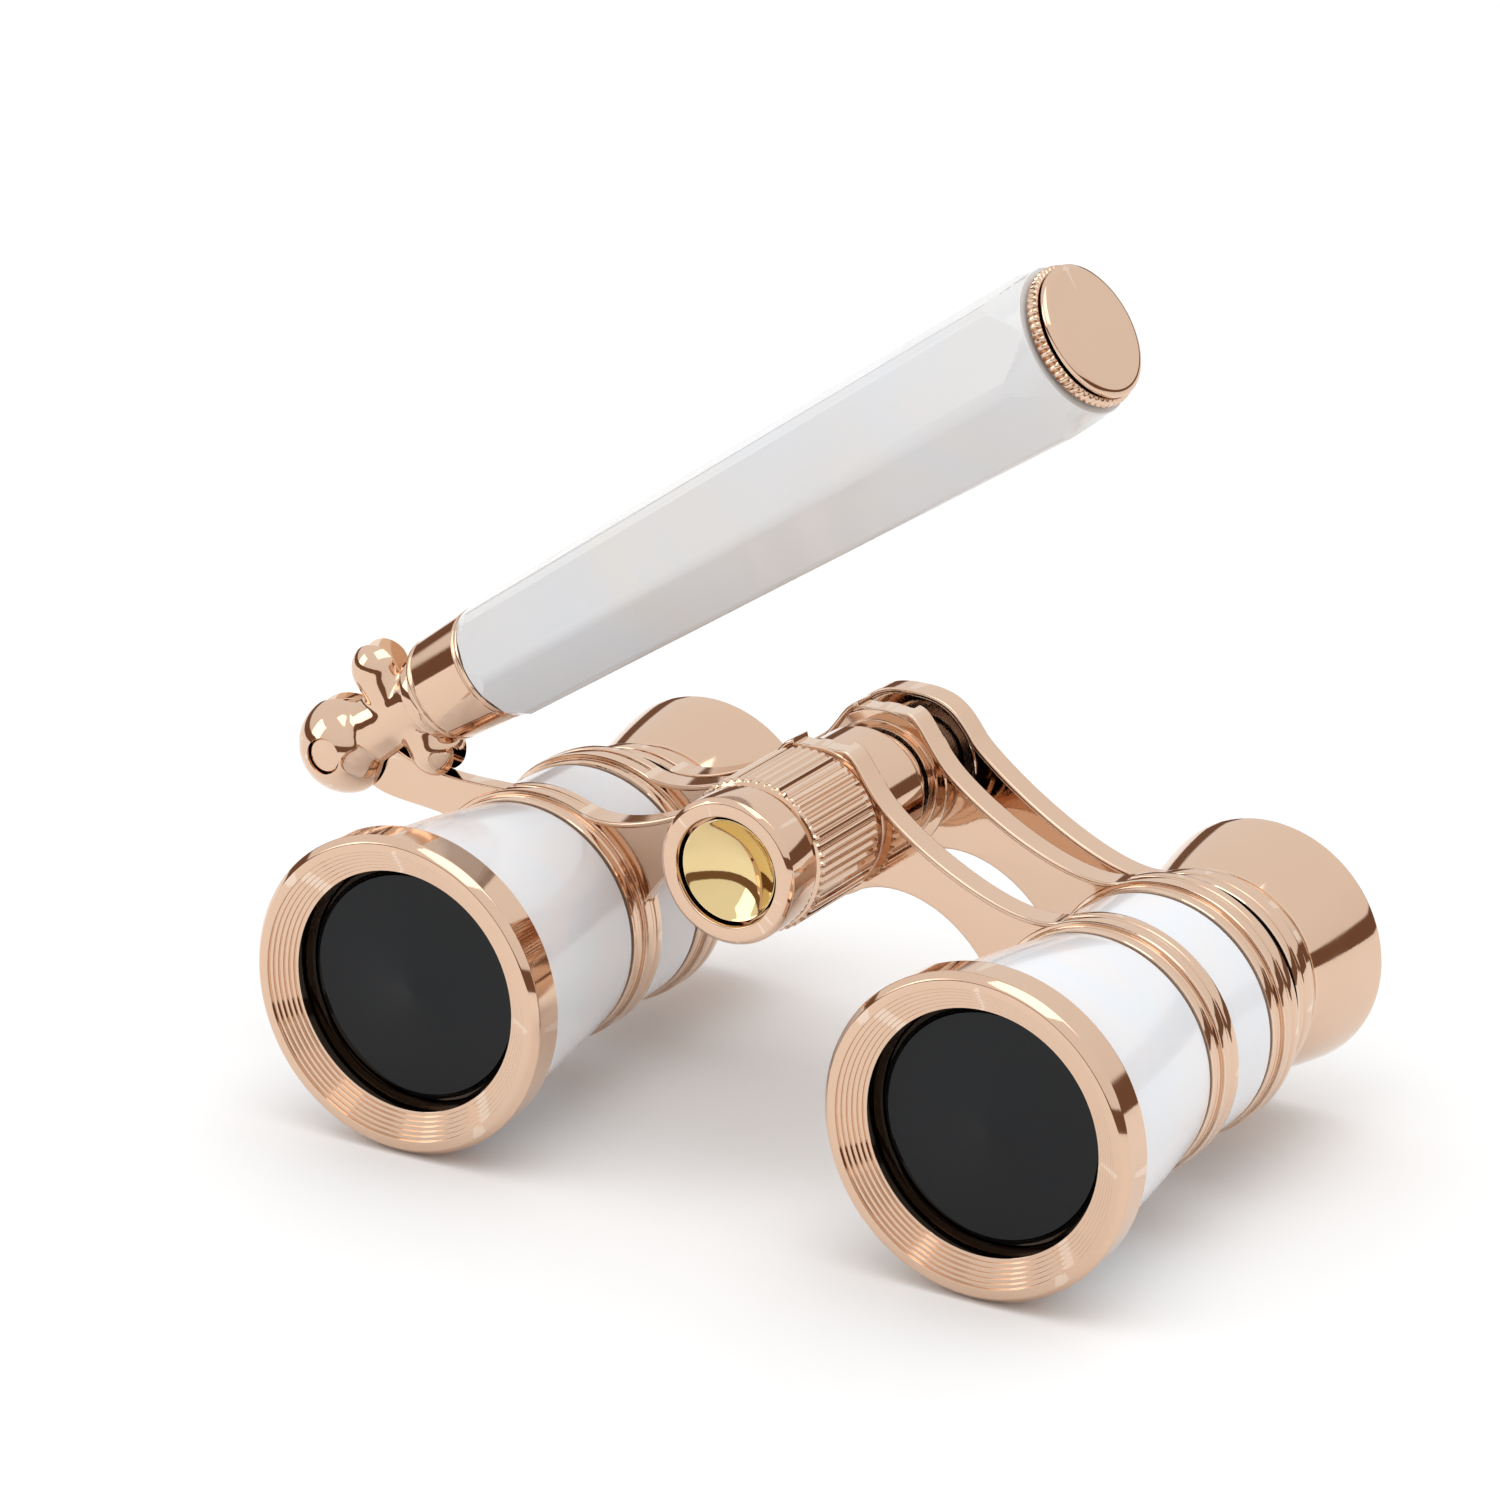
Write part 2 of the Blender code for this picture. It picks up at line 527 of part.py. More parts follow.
hex_grip()
turned("grip_end_ring", [
    (END_RING_END, END_RING_R - 0.4), (GRIP_END + GAP, END_RING_R), (GRIP_END + GAP, ROD_R + GAP),
    (END_RING_END, ROD_R + GAP),
], ROSE_GOLD, handle_axis, ALONG_X)
turned("end_cap", rod(END_RING_END + GAP, END_CAP_END, END_CAP_R), ROSE_GOLD, handle_axis, ALONG_X)
turned("tie_rod", rod(ROD_START, END_RING_END, ROD_R), STEEL, handle_axis, ALONG_X, STEPS_SMALL)
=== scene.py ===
import math

import bmesh
import bpy
from mathutils import Matrix, Vector


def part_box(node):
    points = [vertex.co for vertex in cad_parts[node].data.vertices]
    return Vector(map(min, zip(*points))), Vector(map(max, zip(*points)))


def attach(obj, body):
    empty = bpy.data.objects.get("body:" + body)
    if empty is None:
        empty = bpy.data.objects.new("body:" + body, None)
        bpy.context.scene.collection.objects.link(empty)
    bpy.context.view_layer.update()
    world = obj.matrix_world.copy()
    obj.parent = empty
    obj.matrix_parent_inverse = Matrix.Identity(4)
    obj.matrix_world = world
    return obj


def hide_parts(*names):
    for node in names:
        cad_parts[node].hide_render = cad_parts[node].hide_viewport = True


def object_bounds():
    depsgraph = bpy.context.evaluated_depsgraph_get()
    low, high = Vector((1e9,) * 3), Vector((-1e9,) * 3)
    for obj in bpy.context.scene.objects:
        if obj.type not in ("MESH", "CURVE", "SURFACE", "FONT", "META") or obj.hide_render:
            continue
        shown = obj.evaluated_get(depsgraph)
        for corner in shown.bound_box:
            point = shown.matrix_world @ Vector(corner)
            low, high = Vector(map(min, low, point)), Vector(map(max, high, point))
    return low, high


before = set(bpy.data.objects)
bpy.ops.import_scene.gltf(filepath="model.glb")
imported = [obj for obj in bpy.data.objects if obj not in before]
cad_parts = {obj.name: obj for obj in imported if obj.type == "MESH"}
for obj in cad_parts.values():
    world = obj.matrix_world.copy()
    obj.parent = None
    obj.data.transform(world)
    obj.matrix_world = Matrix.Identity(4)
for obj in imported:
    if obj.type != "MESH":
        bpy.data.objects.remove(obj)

cad_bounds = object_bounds()

# Blackened inner tubes. Each barrel is built on a thin aluminium tube, anodised black so that no
# stray light reaches the eye; a slimmer one carries the eyepiece and slides inside it. The two
# threaded rings that hold the lenses in place have the same finish.
MM = 0.001
BLACKENED = (0.012, 0.011, 0.011, 1.0)
BLACKENED_WORN = (0.045, 0.040, 0.036, 1.0)
EYEPIECE_TUBE_R = 9.3
EYEPIECE_TUBE_BORE = 8.3
EYE_LENS_POCKET_R = 8.0
EYE_LENS_SEAT = (44.0, 44.9, 6.9)                      # front, back, radius of its opening


def add_node(tree, kind, inputs=None, **settings):
    """Adds a shader node; each input is either another node's socket or a plain value."""
    made = tree.nodes.new(kind)
    for name, value in settings.items():
        setattr(made, name, value)
    for name, value in (inputs or {}).items():
        if isinstance(value, bpy.types.NodeSocket):
            tree.links.new(value, made.inputs[name])
        else:
            made.inputs[name].default_value = value
    return made


def effect_group(name, inputs, outputs):
    """An empty node group with named inputs and outputs, ready for its nodes."""
    tree = bpy.data.node_groups.new(name, "ShaderNodeTree")
    for label, kind, value in inputs:
        socket = tree.interface.new_socket(label, in_out="INPUT", socket_type=kind)
        if value is not None:
            socket.default_value = value
    for label, kind in outputs:
        tree.interface.new_socket(label, in_out="OUTPUT", socket_type=kind)
    return tree, tree.nodes.new("NodeGroupInput"), tree.nodes.new("NodeGroupOutput")


def make_handling_marks():
    """Where fingers have dulled a surface, and the finest dust and pits in it."""
    tree, given, result = effect_group(
        "handling_marks",
        [("Place", "NodeSocketVector", None), ("Smudge Size", "NodeSocketFloat", 90.0),
         ("Grain Size", "NodeSocketFloat", 4000.0)],
        [("Smudges", "NodeSocketFloat"), ("Grain", "NodeSocketFloat")])
    smudge = add_node(tree, "ShaderNodeTexNoise", {
        "Vector": given.outputs["Place"], "Scale": given.outputs["Smudge Size"],
        "Detail": 5.0, "Roughness": 0.62, "Distortion": 0.8})
    spread = add_node(tree, "ShaderNodeMapRange", {
        "Value": smudge.outputs["Fac"], "From Min": 0.42, "From Max": 0.72}, clamp=True)
    grain = add_node(tree, "ShaderNodeTexNoise", {
        "Vector": given.outputs["Place"], "Scale": given.outputs["Grain Size"],
        "Detail": 3.0, "Roughness": 0.55})
    tree.links.new(spread.outputs["Result"], result.inputs["Smudges"])
    tree.links.new(grain.outputs["Fac"], result.inputs["Grain"])
    return tree


handling_marks = make_handling_marks()


def new_material(name, metallic, **fixed):
    """A material with its one shader; fixed values are set on the shader's own sockets."""
    material = bpy.data.materials.new(name)
    material.use_nodes = True
    tree = material.node_tree
    shader = tree.nodes["Principled BSDF"]
    shader.inputs["Metallic"].default_value = metallic
    for label, value in fixed.items():
        shader.inputs[label.replace("_", " ")].default_value = value
    place = add_node(tree, "ShaderNodeTexCoord")
    return material, tree, shader, place.outputs["Object"]


def add_marks(tree, place, smudge_size, grain_size):
    marks = add_node(tree, "ShaderNodeGroup", node_tree=handling_marks)
    tree.links.new(place, marks.inputs["Place"])
    marks.inputs["Smudge Size"].default_value = smudge_size
    marks.inputs["Grain Size"].default_value = grain_size
    return marks.outputs["Smudges"], marks.outputs["Grain"]


def blend_colours(tree, mask, first, second):
    """The first colour where the mask is 0 and the second where it is 1."""
    mix = add_node(tree, "ShaderNodeMix", data_type="RGBA")
    tree.links.new(mask, mix.inputs["Factor"])
    for socket, colour in ((mix.inputs[6], first), (mix.inputs[7], second)):
        if isinstance(colour, bpy.types.NodeSocket):
            tree.links.new(colour, socket)
        else:
            socket.default_value = colour
    return mix.outputs[2]


def between(tree, mask, low, high):
    """A value that runs from low to high with the mask."""
    spread = add_node(tree, "ShaderNodeMapRange", {"Value": mask, "To Min": low, "To Max": high})
    return spread.outputs["Result"]


def raise_surface(tree, shader, height, depth_mm):
    bump = add_node(tree, "ShaderNodeBump", {
        "Height": height, "Distance": depth_mm * MM, "Strength": 1.0})
    tree.links.new(bump.outputs["Normal"], shader.inputs["Normal"])


def make_black_anodised():
    material, tree, shader, place = new_material("black_anodised", metallic=0.35)
    smudges, grain = add_marks(tree, place, smudge_size=160.0, grain_size=9000.0)
    worn = blend_colours(tree, smudges, BLACKENED, BLACKENED_WORN)
    tree.links.new(worn, shader.inputs["Base Color"])
    tree.links.new(between(tree, grain, low=0.38, high=0.62), shader.inputs["Roughness"])
    raise_surface(tree, shader, grain, depth_mm=0.02)
    return material


black_anodised = make_black_anodised()
SIDES = ("left", "right")


def refinish(node, material):
    """Gives a CAD node that stays in view its finished material."""
    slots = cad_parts[node].data.materials
    slots.clear()
    slots.append(material)


for side in SIDES:
    refinish(f"body_tube_{side}", black_anodised)
    refinish(f"lens_retainer_{side}", black_anodised)
    refinish(f"ocular_retainer_{side}", black_anodised)


def centre(node):
    low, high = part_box(node)
    return (low + high) / 2


def rounded(corners, steps=3):
    """Profile points from corners (station, radius, rounding), all in mm."""
    points = []
    for i, (station, radius, *rounding) in enumerate(corners):
        here = Vector((station, radius))
        if not rounding:
            points.append(here)
            continue
        before = Vector(corners[i - 1][:2]) - here
        after = Vector(corners[(i + 1) % len(corners)][:2]) - here
        start = here + before.normalized() * min(rounding[0], before.length * 0.5)
        end = here + after.normalized() * min(rounding[0], after.length * 0.5)
        for step in range(steps + 1):
            t = step / steps
            points.append(start * (1 - t) ** 2 + here * 2 * t * (1 - t) + end * t * t)
    return points


def swept(start, end, bow, count):
    """Profile points from start to end along a shallow arc that bows by so many mm."""
    a, b = Vector(start), Vector(end)
    side = Vector((a.y - b.y, b.x - a.x)).normalized()
    return [tuple(a.lerp(b, i / count) + side * bow * 4 * (i / count) * (1 - i / count))
            for i in range(count + 1)]


def pick(piece, *others):
    """Selects the pieces named and nothing else, and makes the first one active."""
    bpy.ops.object.select_all(action="DESELECT")
    for chosen in (piece, *others):
        chosen.select_set(True)
    bpy.context.view_layer.objects.active = piece


def smooth(piece, degrees):
    """Smooth shading up to an angle, with flat faces kept flat right up to their rounded edges."""
    pick(piece)
    bpy.ops.object.shade_smooth_by_angle(angle=math.radians(degrees))
    even = piece.modifiers.new("flat_faces", "WEIGHTED_NORMAL")
    even.keep_sharp = True
    bpy.ops.object.modifier_apply(modifier=even.name)


WELD_GAP = 0.003 * MM
PLATE_WELD_GAP = 0.001 * MM


def turned(name, origin, along, corners, sides):
    """Turns a profile about a line, as on a lathe: a point is drawn out along the profile and
    the line it leaves is spun. A profile that doesn't touch the line is closed on itself."""
    along = Vector(along).normalized()
    out = along.orthogonal().normalized()
    places = [origin + (along * p.x + out * p.y) * MM for p in rounded(corners)]
    if corners[0][1] > 0:
        places.append(places[0])
    bpy.ops.mesh.primitive_plane_add(size=MM, location=places[0])
    piece = bpy.context.object
    piece.name = name
    piece.data.name = name
    bpy.ops.object.transform_apply()
    bpy.ops.object.mode_set(mode="EDIT")
    bpy.ops.mesh.select_mode(type="VERT")
    bpy.ops.mesh.select_all(action="SELECT")
    bpy.ops.mesh.merge(type="CENTER")
    for here, there in zip(places, places[1:]):
        bpy.ops.mesh.extrude_vertices_move(TRANSFORM_OT_translate={"value": there - here})
    bpy.ops.mesh.select_all(action="SELECT")
    bpy.ops.mesh.spin(steps=sides, angle=2 * math.pi, center=origin, axis=along)
    bpy.ops.mesh.select_all(action="SELECT")
    bpy.ops.mesh.remove_doubles(threshold=WELD_GAP)
    bpy.ops.mesh.normals_make_consistent(inside=False)
    bpy.ops.object.mode_set(mode="OBJECT")
    return piece


def fit(piece, body, slot, material, *nodes, sharp_over=32.0):
    """Finishes a piece: its shading and material, the body it moves with and the CAD nodes it
    stands for."""
    smooth(piece, sharp_over)
    piece.data.materials.clear()
    piece.data.materials.append(material)
    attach(piece, body)
    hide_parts(*nodes)
    return piece


BARREL_LINE = (0, 1, 0)
barrel = {side: centre(f"objective_ring_{side}") for side in SIDES}
front_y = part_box("objective_ring_left")[0].y
for place in barrel.values():
    place.y = front_y



def ends(node):
    """Where a CAD node starts and ends along the barrels, in mm behind the objectives' front."""
    return [corner.y / MM - front_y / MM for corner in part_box(node)]


seat_front, seat_back, seat_r = EYE_LENS_SEAT
for side in SIDES:
    low, high = ends(f"eyepiece_tube_{side}")
    tube = turned(f"sliding_eyepiece_tube_{side}", barrel[side], BARREL_LINE, [
        (low, EYEPIECE_TUBE_BORE, 0.1), (low, EYEPIECE_TUBE_R, 0.1), (high, EYEPIECE_TUBE_R, 0.1),
        (high, EYE_LENS_POCKET_R), (seat_back, EYE_LENS_POCKET_R), (seat_back, seat_r),
        (seat_front, seat_r), (seat_front, EYEPIECE_TUBE_BORE)], sides=96)
    fit(tube, "eyepieces", "black_metal", black_anodised, f"eyepiece_tube_{side}")

# Bridges. Three cast brass plates, ground, polished and plated with rose gold, tie the barrels
# together: each has a web with a raised rib along its upper edge, a ribbed ring round each
# barrel and a boss for the focusing screw. The front one also carries the handle's arm.
ROSE_GOLD = (0.735, 0.535, 0.400, 1.0)
ROSE_GOLD_DEEP = (0.690, 0.470, 0.335, 1.0)
ROSE_GOLD_RUBBED = (0.790, 0.620, 0.490, 1.0)
ROSE_GOLDS = (ROSE_GOLD, ROSE_GOLD_DEEP, ROSE_GOLD_RUBBED)
ROUND_THE_BARREL = (0.12, 6.0, 0.12)                   # how polishing lines stretch along X, Y, Z
ON_CASTINGS = (1.0, 1.0, 0.35)
EVERY_WAY = (1.0, 1.0, 1.0)
EDGE_SHOWS = 0.53                                      # pointiness at which an edge looks rubbed


def make_polish_lines():
    """Fine lines left by the polishing mop, as height, and the paler metal of rubbed edges."""
    tree, given, result = effect_group(
        "polish_lines",
        [("Place", "NodeSocketVector", None), ("Stretch", "NodeSocketVector", (1.0, 1.0, 1.0)),
         ("Fineness", "NodeSocketFloat", 900.0), ("Edge Reach", "NodeSocketFloat", 0.02)],
        [("Lines", "NodeSocketFloat"), ("Rubbed Edges", "NodeSocketFloat")])
    stretched = add_node(tree, "ShaderNodeVectorMath", {
        0: given.outputs["Place"], 1: given.outputs["Stretch"]}, operation="MULTIPLY")
    lines = add_node(tree, "ShaderNodeTexNoise", {
        "Vector": stretched.outputs["Vector"], "Scale": given.outputs["Fineness"],
        "Detail": 4.0, "Roughness": 0.7})
    edge = add_node(tree, "ShaderNodeNewGeometry")
    top = add_node(tree, "ShaderNodeMath", {
        0: EDGE_SHOWS, 1: given.outputs["Edge Reach"]}, operation="ADD")
    rubbed = add_node(tree, "ShaderNodeMapRange", {
        "Value": edge.outputs["Pointiness"], "From Min": EDGE_SHOWS,
        "From Max": top.outputs["Value"]}, clamp=True)
    tree.links.new(lines.outputs["Fac"], result.inputs["Lines"])
    tree.links.new(rubbed.outputs["Result"], result.inputs["Rubbed Edges"])
    return tree


polish_lines = make_polish_lines()


def make_plated(name, colour, deep, rubbed, stretch, dullness=(0.045, 0.15), line_depth=0.0012):
    """Polished plate over brass, with mop lines along one direction and faint handling marks."""
    material, tree, shader, place = new_material(name, metallic=1.0)
    smudges, grain = add_marks(tree, place, smudge_size=110.0, grain_size=5200.0)
    cloud = add_node(tree, "ShaderNodeTexNoise", {"Vector": place, "Scale": 55.0, "Detail": 3.0})
    lines = add_node(tree, "ShaderNodeGroup", node_tree=polish_lines)
    tree.links.new(place, lines.inputs["Place"])
    lines.inputs["Stretch"].default_value = stretch
    toned = blend_colours(tree, cloud.outputs["Fac"], colour, deep)
    worn = blend_colours(tree, lines.outputs["Rubbed Edges"], toned, rubbed)
    tree.links.new(worn, shader.inputs["Base Color"])
    hazy = add_node(tree, "ShaderNodeMath", {
        0: smudges, 1: lines.outputs["Lines"]}, operation="MULTIPLY")
    tree.links.new(between(tree, hazy.outputs["Value"], *dullness), shader.inputs["Roughness"])
    height = add_node(tree, "ShaderNodeMath", {0: lines.outputs["Lines"], 1: grain}, operation="ADD")
    raise_surface(tree, shader, height.outputs["Value"], line_depth)
    return material


# The mop runs across a turned piece's axis, so its lines are close together along the barrel.
turned_gold = make_plated("turned_rose_gold", *ROSE_GOLDS, ROUND_THE_BARREL)
cast_gold = make_plated("cast_rose_gold", *ROSE_GOLDS, ON_CASTINGS)

middle = (barrel["left"] + barrel["right"]) / 2
half_spacing = (barrel["right"].x - barrel["left"].x) / 2 / MM
focus = centre("focus_knob")
focus.y = front_y
focus_height = (focus.z - middle.z) / MM
pivot = centre("hinge_pin")
pivot_out = (middle.x - pivot.x) / MM
pivot_height = (pivot.z - middle.z) / MM

BRIDGE_DEPTH = 2.9
WEB_THICK = 2.0
WEB_EDGE = 0.18
WEB_INTO_RING = 0.5
HOLE_GAP = 0.4                                         # a hole in the web clears its bore by this
RIB_HEIGHT = 0.6
RIB_EDGE = 0.25
RIB_SET_BACK = 0.03                                    # behind the ring's face, at both ends
RIB_MEETS_RING = 112                                   # degrees round the ring
WEB_LEAVES_RING = -195
RING_BORE = 11.0
RING_R = 12.9
BAND_LENGTH = 1.6
BAND_R = 12.5
SLIDING_RING_BORE = 9.6
SLIDING_RING_R = 11.4
BOSS_R = 7.2
BOSS_TOP = 7.5
BOSS_FOOT_R = 7.9
FIXED_BOSS_BORE = 5.4
SLIDING_BOSS_BORE = 2.1
EYE_R = 4.2
PIVOT_BORE = 1.8


def on_circle(middle_x, middle_z, radius, degrees):
    angle = math.radians(degrees)
    return middle_x + radius * math.cos(angle), middle_z + radius * math.sin(angle)


def arc(middle_x, middle_z, radius, start, end, count):
    """Points of a circle from one angle to another, in degrees."""
    return [on_circle(middle_x, middle_z, radius, start + (end - start) * i / count)
            for i in range(count + 1)]


def bend(a, b, c, d, count):
    """A smooth bend from a to d, pulled towards b and c; both ends are included."""
    points = []
    for i in range(count + 1):
        t = i / count
        weights = ((1 - t) ** 3, 3 * t * (1 - t) ** 2, 3 * t * t * (1 - t), t ** 3)
        points.append(tuple(sum(w * p[k] for w, p in zip(weights, (a, b, c, d))) for k in (0, 1)))
    return points


def upper_edge(ring_r, rise, over_boss):
    """The rib's line from the top of the boss down one arm to its ring. It runs right over the
    boss, or else starts as a blunt tip beside it."""
    boss_top = focus_height + BOSS_TOP
    waist = (7.0, focus_height + 2.8 + rise)
    top = on_circle(half_spacing, 0, ring_r, RIB_MEETS_RING)
    if over_boss:
        line = bend((0.0, boss_top), (3.9, boss_top), (5.0, focus_height + 5.6 + rise), waist, 16)
    else:
        line = bend((2.7, boss_top), (4.2, boss_top - 0.3), (4.7, focus_height + 5.3), waist, 12)
    return line + bend(waist, (10.0, 16.3 + rise), (top[0] - 5.5, top[1] - 2.2 + rise), top, 24)[1:]


def lower_edge(ring_r):
    """The web's line from the inner side of one ring up to the foot of the boss."""
    ring_side = on_circle(half_spacing, 0, ring_r, WEB_LEAVES_RING)
    foot = arc(0, focus_height, BOSS_FOOT_R, -53.5, -90, 10)
    return bend(ring_side, (16.6, 9.7), (9.5, 12.7), foot[0], 20) + foot[1:]


def shifted(line, amount):
    """The same line moved square to itself by so many mm, to its right as it is drawn."""
    moved = []
    for i, here in enumerate(line):
        ahead = Vector(line[min(i + 1, len(line) - 1)]) - Vector(line[max(i - 1, 0)])
        ahead.normalize()
        moved.append((here[0] + ahead.y * amount, here[1] - ahead.x * amount))
    return moved


def mirrored(line):
    return [(-x, z) for x, z in reversed(line)]


def cut_plate(name, loops, front, thick, edge):
    """A flat plate cut to closed loops of (x, z) points in mm, with rounded edges."""
    curve = bpy.data.curves.new(name, "CURVE")
    curve.dimensions = "2D"
    curve.fill_mode = "BOTH"
    curve.extrude = (thick / 2 - edge) * MM
    curve.bevel_depth = edge * MM
    curve.bevel_resolution = 2
    curve.offset = -edge * MM
    for loop in loops:
        spline = curve.splines.new("POLY")
        spline.points.add(len(loop) - 1)
        for point, (x, z) in zip(spline.points, loop):
            point.co = (x * MM, z * MM, 0, 1)
        spline.use_cyclic_u = True
    plate = bpy.data.objects.new(name, curve)
    plate.location = middle + Vector((0, (front + thick / 2) * MM, 0))
    plate.rotation_euler = (math.pi / 2, 0, 0)
    bpy.context.collection.objects.link(plate)
    pick(plate)
    bpy.ops.object.convert(target="MESH")
    bpy.ops.object.transform_apply()
    bpy.ops.object.mode_set(mode="EDIT")
    bpy.ops.mesh.select_all(action="SELECT")
    bpy.ops.mesh.remove_doubles(threshold=PLATE_WELD_GAP)
    bpy.ops.mesh.normals_make_consistent(inside=False)
    bpy.ops.object.mode_set(mode="OBJECT")
    return bpy.context.object


def combine(piece, other, operation):
    """Joins another solid to a piece or cuts the piece with it, and removes the other."""
    modifier = piece.modifiers.new("combine", "BOOLEAN")
    modifier.operation = operation
    modifier.solver = "EXACT"
    modifier.object = other
    pick(piece)
    bpy.ops.object.modifier_apply(modifier=modifier.name)
    bpy.data.objects.remove(other, do_unlink=True)


def block(size_mm, place):
    """A box of that size about a place, to cut with."""
    bpy.ops.mesh.primitive_cube_add(size=1.0, location=place, scale=[mm * MM for mm in size_mm])
    made = bpy.context.object
    bpy.ops.object.transform_apply()
    return made


def cast_with(piece, other):
    """Makes another solid one with the piece; each runs a little way into the other."""
    pick(piece, other)
    bpy.ops.object.join()


def circle_loop(x, z, radius, count=96):
    return arc(x, z, radius, 0, 360, count)[:-1]


def handle_arm():
    """The arm that carries the handle's pivot, from the left ring's top round its eye."""
    start = on_circle(half_spacing, 0, RING_R - WEB_INTO_RING, 85)
    end = on_circle(half_spacing, 0, RING_R - WEB_INTO_RING, 39.7)
    eye = arc(pivot_out, pivot_height, EYE_R, 138, -130, 40)
    top = bend(start, (39.0, 12.4), (46.0, 11.2), eye[0], 16)
    foot = bend(eye[-1], (49.5, 8.3), (45.0, 8.9), end, 12)
    return mirrored(top + eye[1:] + foot[1:])


def bridge(name, node, ring_profile, ring_r, ring_bore, boss_bore, rise, over_boss, with_arm):
    """Web, rib, two ribbed rings and boss, joined into one plate."""
    start = (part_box(node)[1].y - front_y) / MM - BRIDGE_DEPTH
    end = start + BRIDGE_DEPTH
    web_front = start + (BRIDGE_DEPTH - WEB_THICK) / 2
    inner_ring_r = ring_r - WEB_INTO_RING
    rib_top = upper_edge(ring_r, rise, over_boss)
    top = shifted(rib_top, RIB_HEIGHT / 2)
    around = arc(half_spacing, 0, inner_ring_r, RIB_MEETS_RING, WEB_LEAVES_RING, 90)
    half = top + around + lower_edge(inner_ring_r)
    outline = half + mirrored(half)[1:-1]
    holes = [circle_loop(side * half_spacing, 0, ring_bore + HOLE_GAP) for side in (-1, 1)]
    holes.append(circle_loop(0, focus_height, boss_bore + HOLE_GAP, 64))
    plate = cut_plate(name, [outline] + holes, web_front, WEB_THICK, WEB_EDGE)
    if with_arm:
        arm_hole = circle_loop(-pivot_out, pivot_height, PIVOT_BORE, 48)
        arm = cut_plate(name + "_arm", [handle_arm(), arm_hole], web_front, WEB_THICK, WEB_EDGE)
        cast_with(plate, arm)
    if over_boss:
        line = mirrored(rib_top) + rib_top[1:]
        ribs = [line + shifted(line, RIB_HEIGHT)[::-1]]
    else:
        ribs = [line + shifted(line, RIB_HEIGHT)[::-1] for line in (rib_top, mirrored(rib_top))]
    rib_depth = end - start - 2 * RIB_SET_BACK
    rib = cut_plate(name + "_rib", ribs, start + RIB_SET_BACK, rib_depth, RIB_EDGE)
    cast_with(plate, rib)
    boss = turned(name + "_boss", focus, BARREL_LINE, [
        (start, boss_bore), (start, boss_bore + 0.8, 0.15), (start + 0.25, boss_bore + 0.8, 0.05),
        (start + 0.25, BOSS_R, 0.2), (end, BOSS_R, 0.25), (end, boss_bore, 0.1)], sides=96)
    cast_with(plate, boss)
    for place in barrel.values():
        ring = turned(name + "_ring", place, BARREL_LINE, ring_profile(start, end), sides=160)
        cast_with(plate, ring)
    return plate


def fixed_ring(start, end):
    """A grooved ring with a slimmer grooved band in front of it, which overlaps the cover."""
    return [
        (start - BAND_LENGTH, RING_BORE), (start - BAND_LENGTH, BAND_R, 0.25),
        (start - 0.75, BAND_R, 0.06), (start - 0.65, BAND_R - 0.2, 0.04),
        (start - 0.5, BAND_R - 0.2, 0.04), (start - 0.4, BAND_R, 0.06),
        (start, BAND_R, 0.05), (start, RING_R, 0.3), (start + 1.25, RING_R, 0.15),
        (start + 1.4, RING_R - 0.3, 0.08), (start + 1.6, RING_R - 0.3, 0.08),
        (start + 1.75, RING_R, 0.15), (end, RING_R, 0.35), (end, RING_BORE)]


def sliding_ring(start, end):
    """A smaller ring with one groove and no band."""
    return [
        (start, SLIDING_RING_BORE), (start, SLIDING_RING_R, 0.3), (start + 1.0, SLIDING_RING_R, 0.1),
        (start + 1.15, SLIDING_RING_R - 0.3, 0.06), (start + 1.3, SLIDING_RING_R - 0.3, 0.06),
        (start + 1.45, SLIDING_RING_R, 0.1), (end, SLIDING_RING_R, 0.3), (end, SLIDING_RING_BORE)]


for node, with_arm in (("front_bridge", True), ("rear_bridge", False)):
    fixed_plate = bridge(f"{node}_plate", node, fixed_ring, RING_R, RING_BORE, FIXED_BOSS_BORE,
                         rise=0.0, over_boss=False, with_arm=with_arm)
    fit(fixed_plate, "body", "rose_gold", cast_gold, node)

# Barrel covers. Spun sleeves in glossy white enamel with a faint mother-of-pearl bloom slip over
# the inner tubes; the front one flares out to the objective ring.
ENAMEL = (0.790, 0.820, 0.860, 1.0)
ENAMEL_PEARL = (0.840, 0.815, 0.815, 1.0)
ENAMEL_SHADE = (0.680, 0.685, 0.715, 1.0)
COVER_WALL = 1.2
COVER_R = 12.3
FLARED_R = 14.6


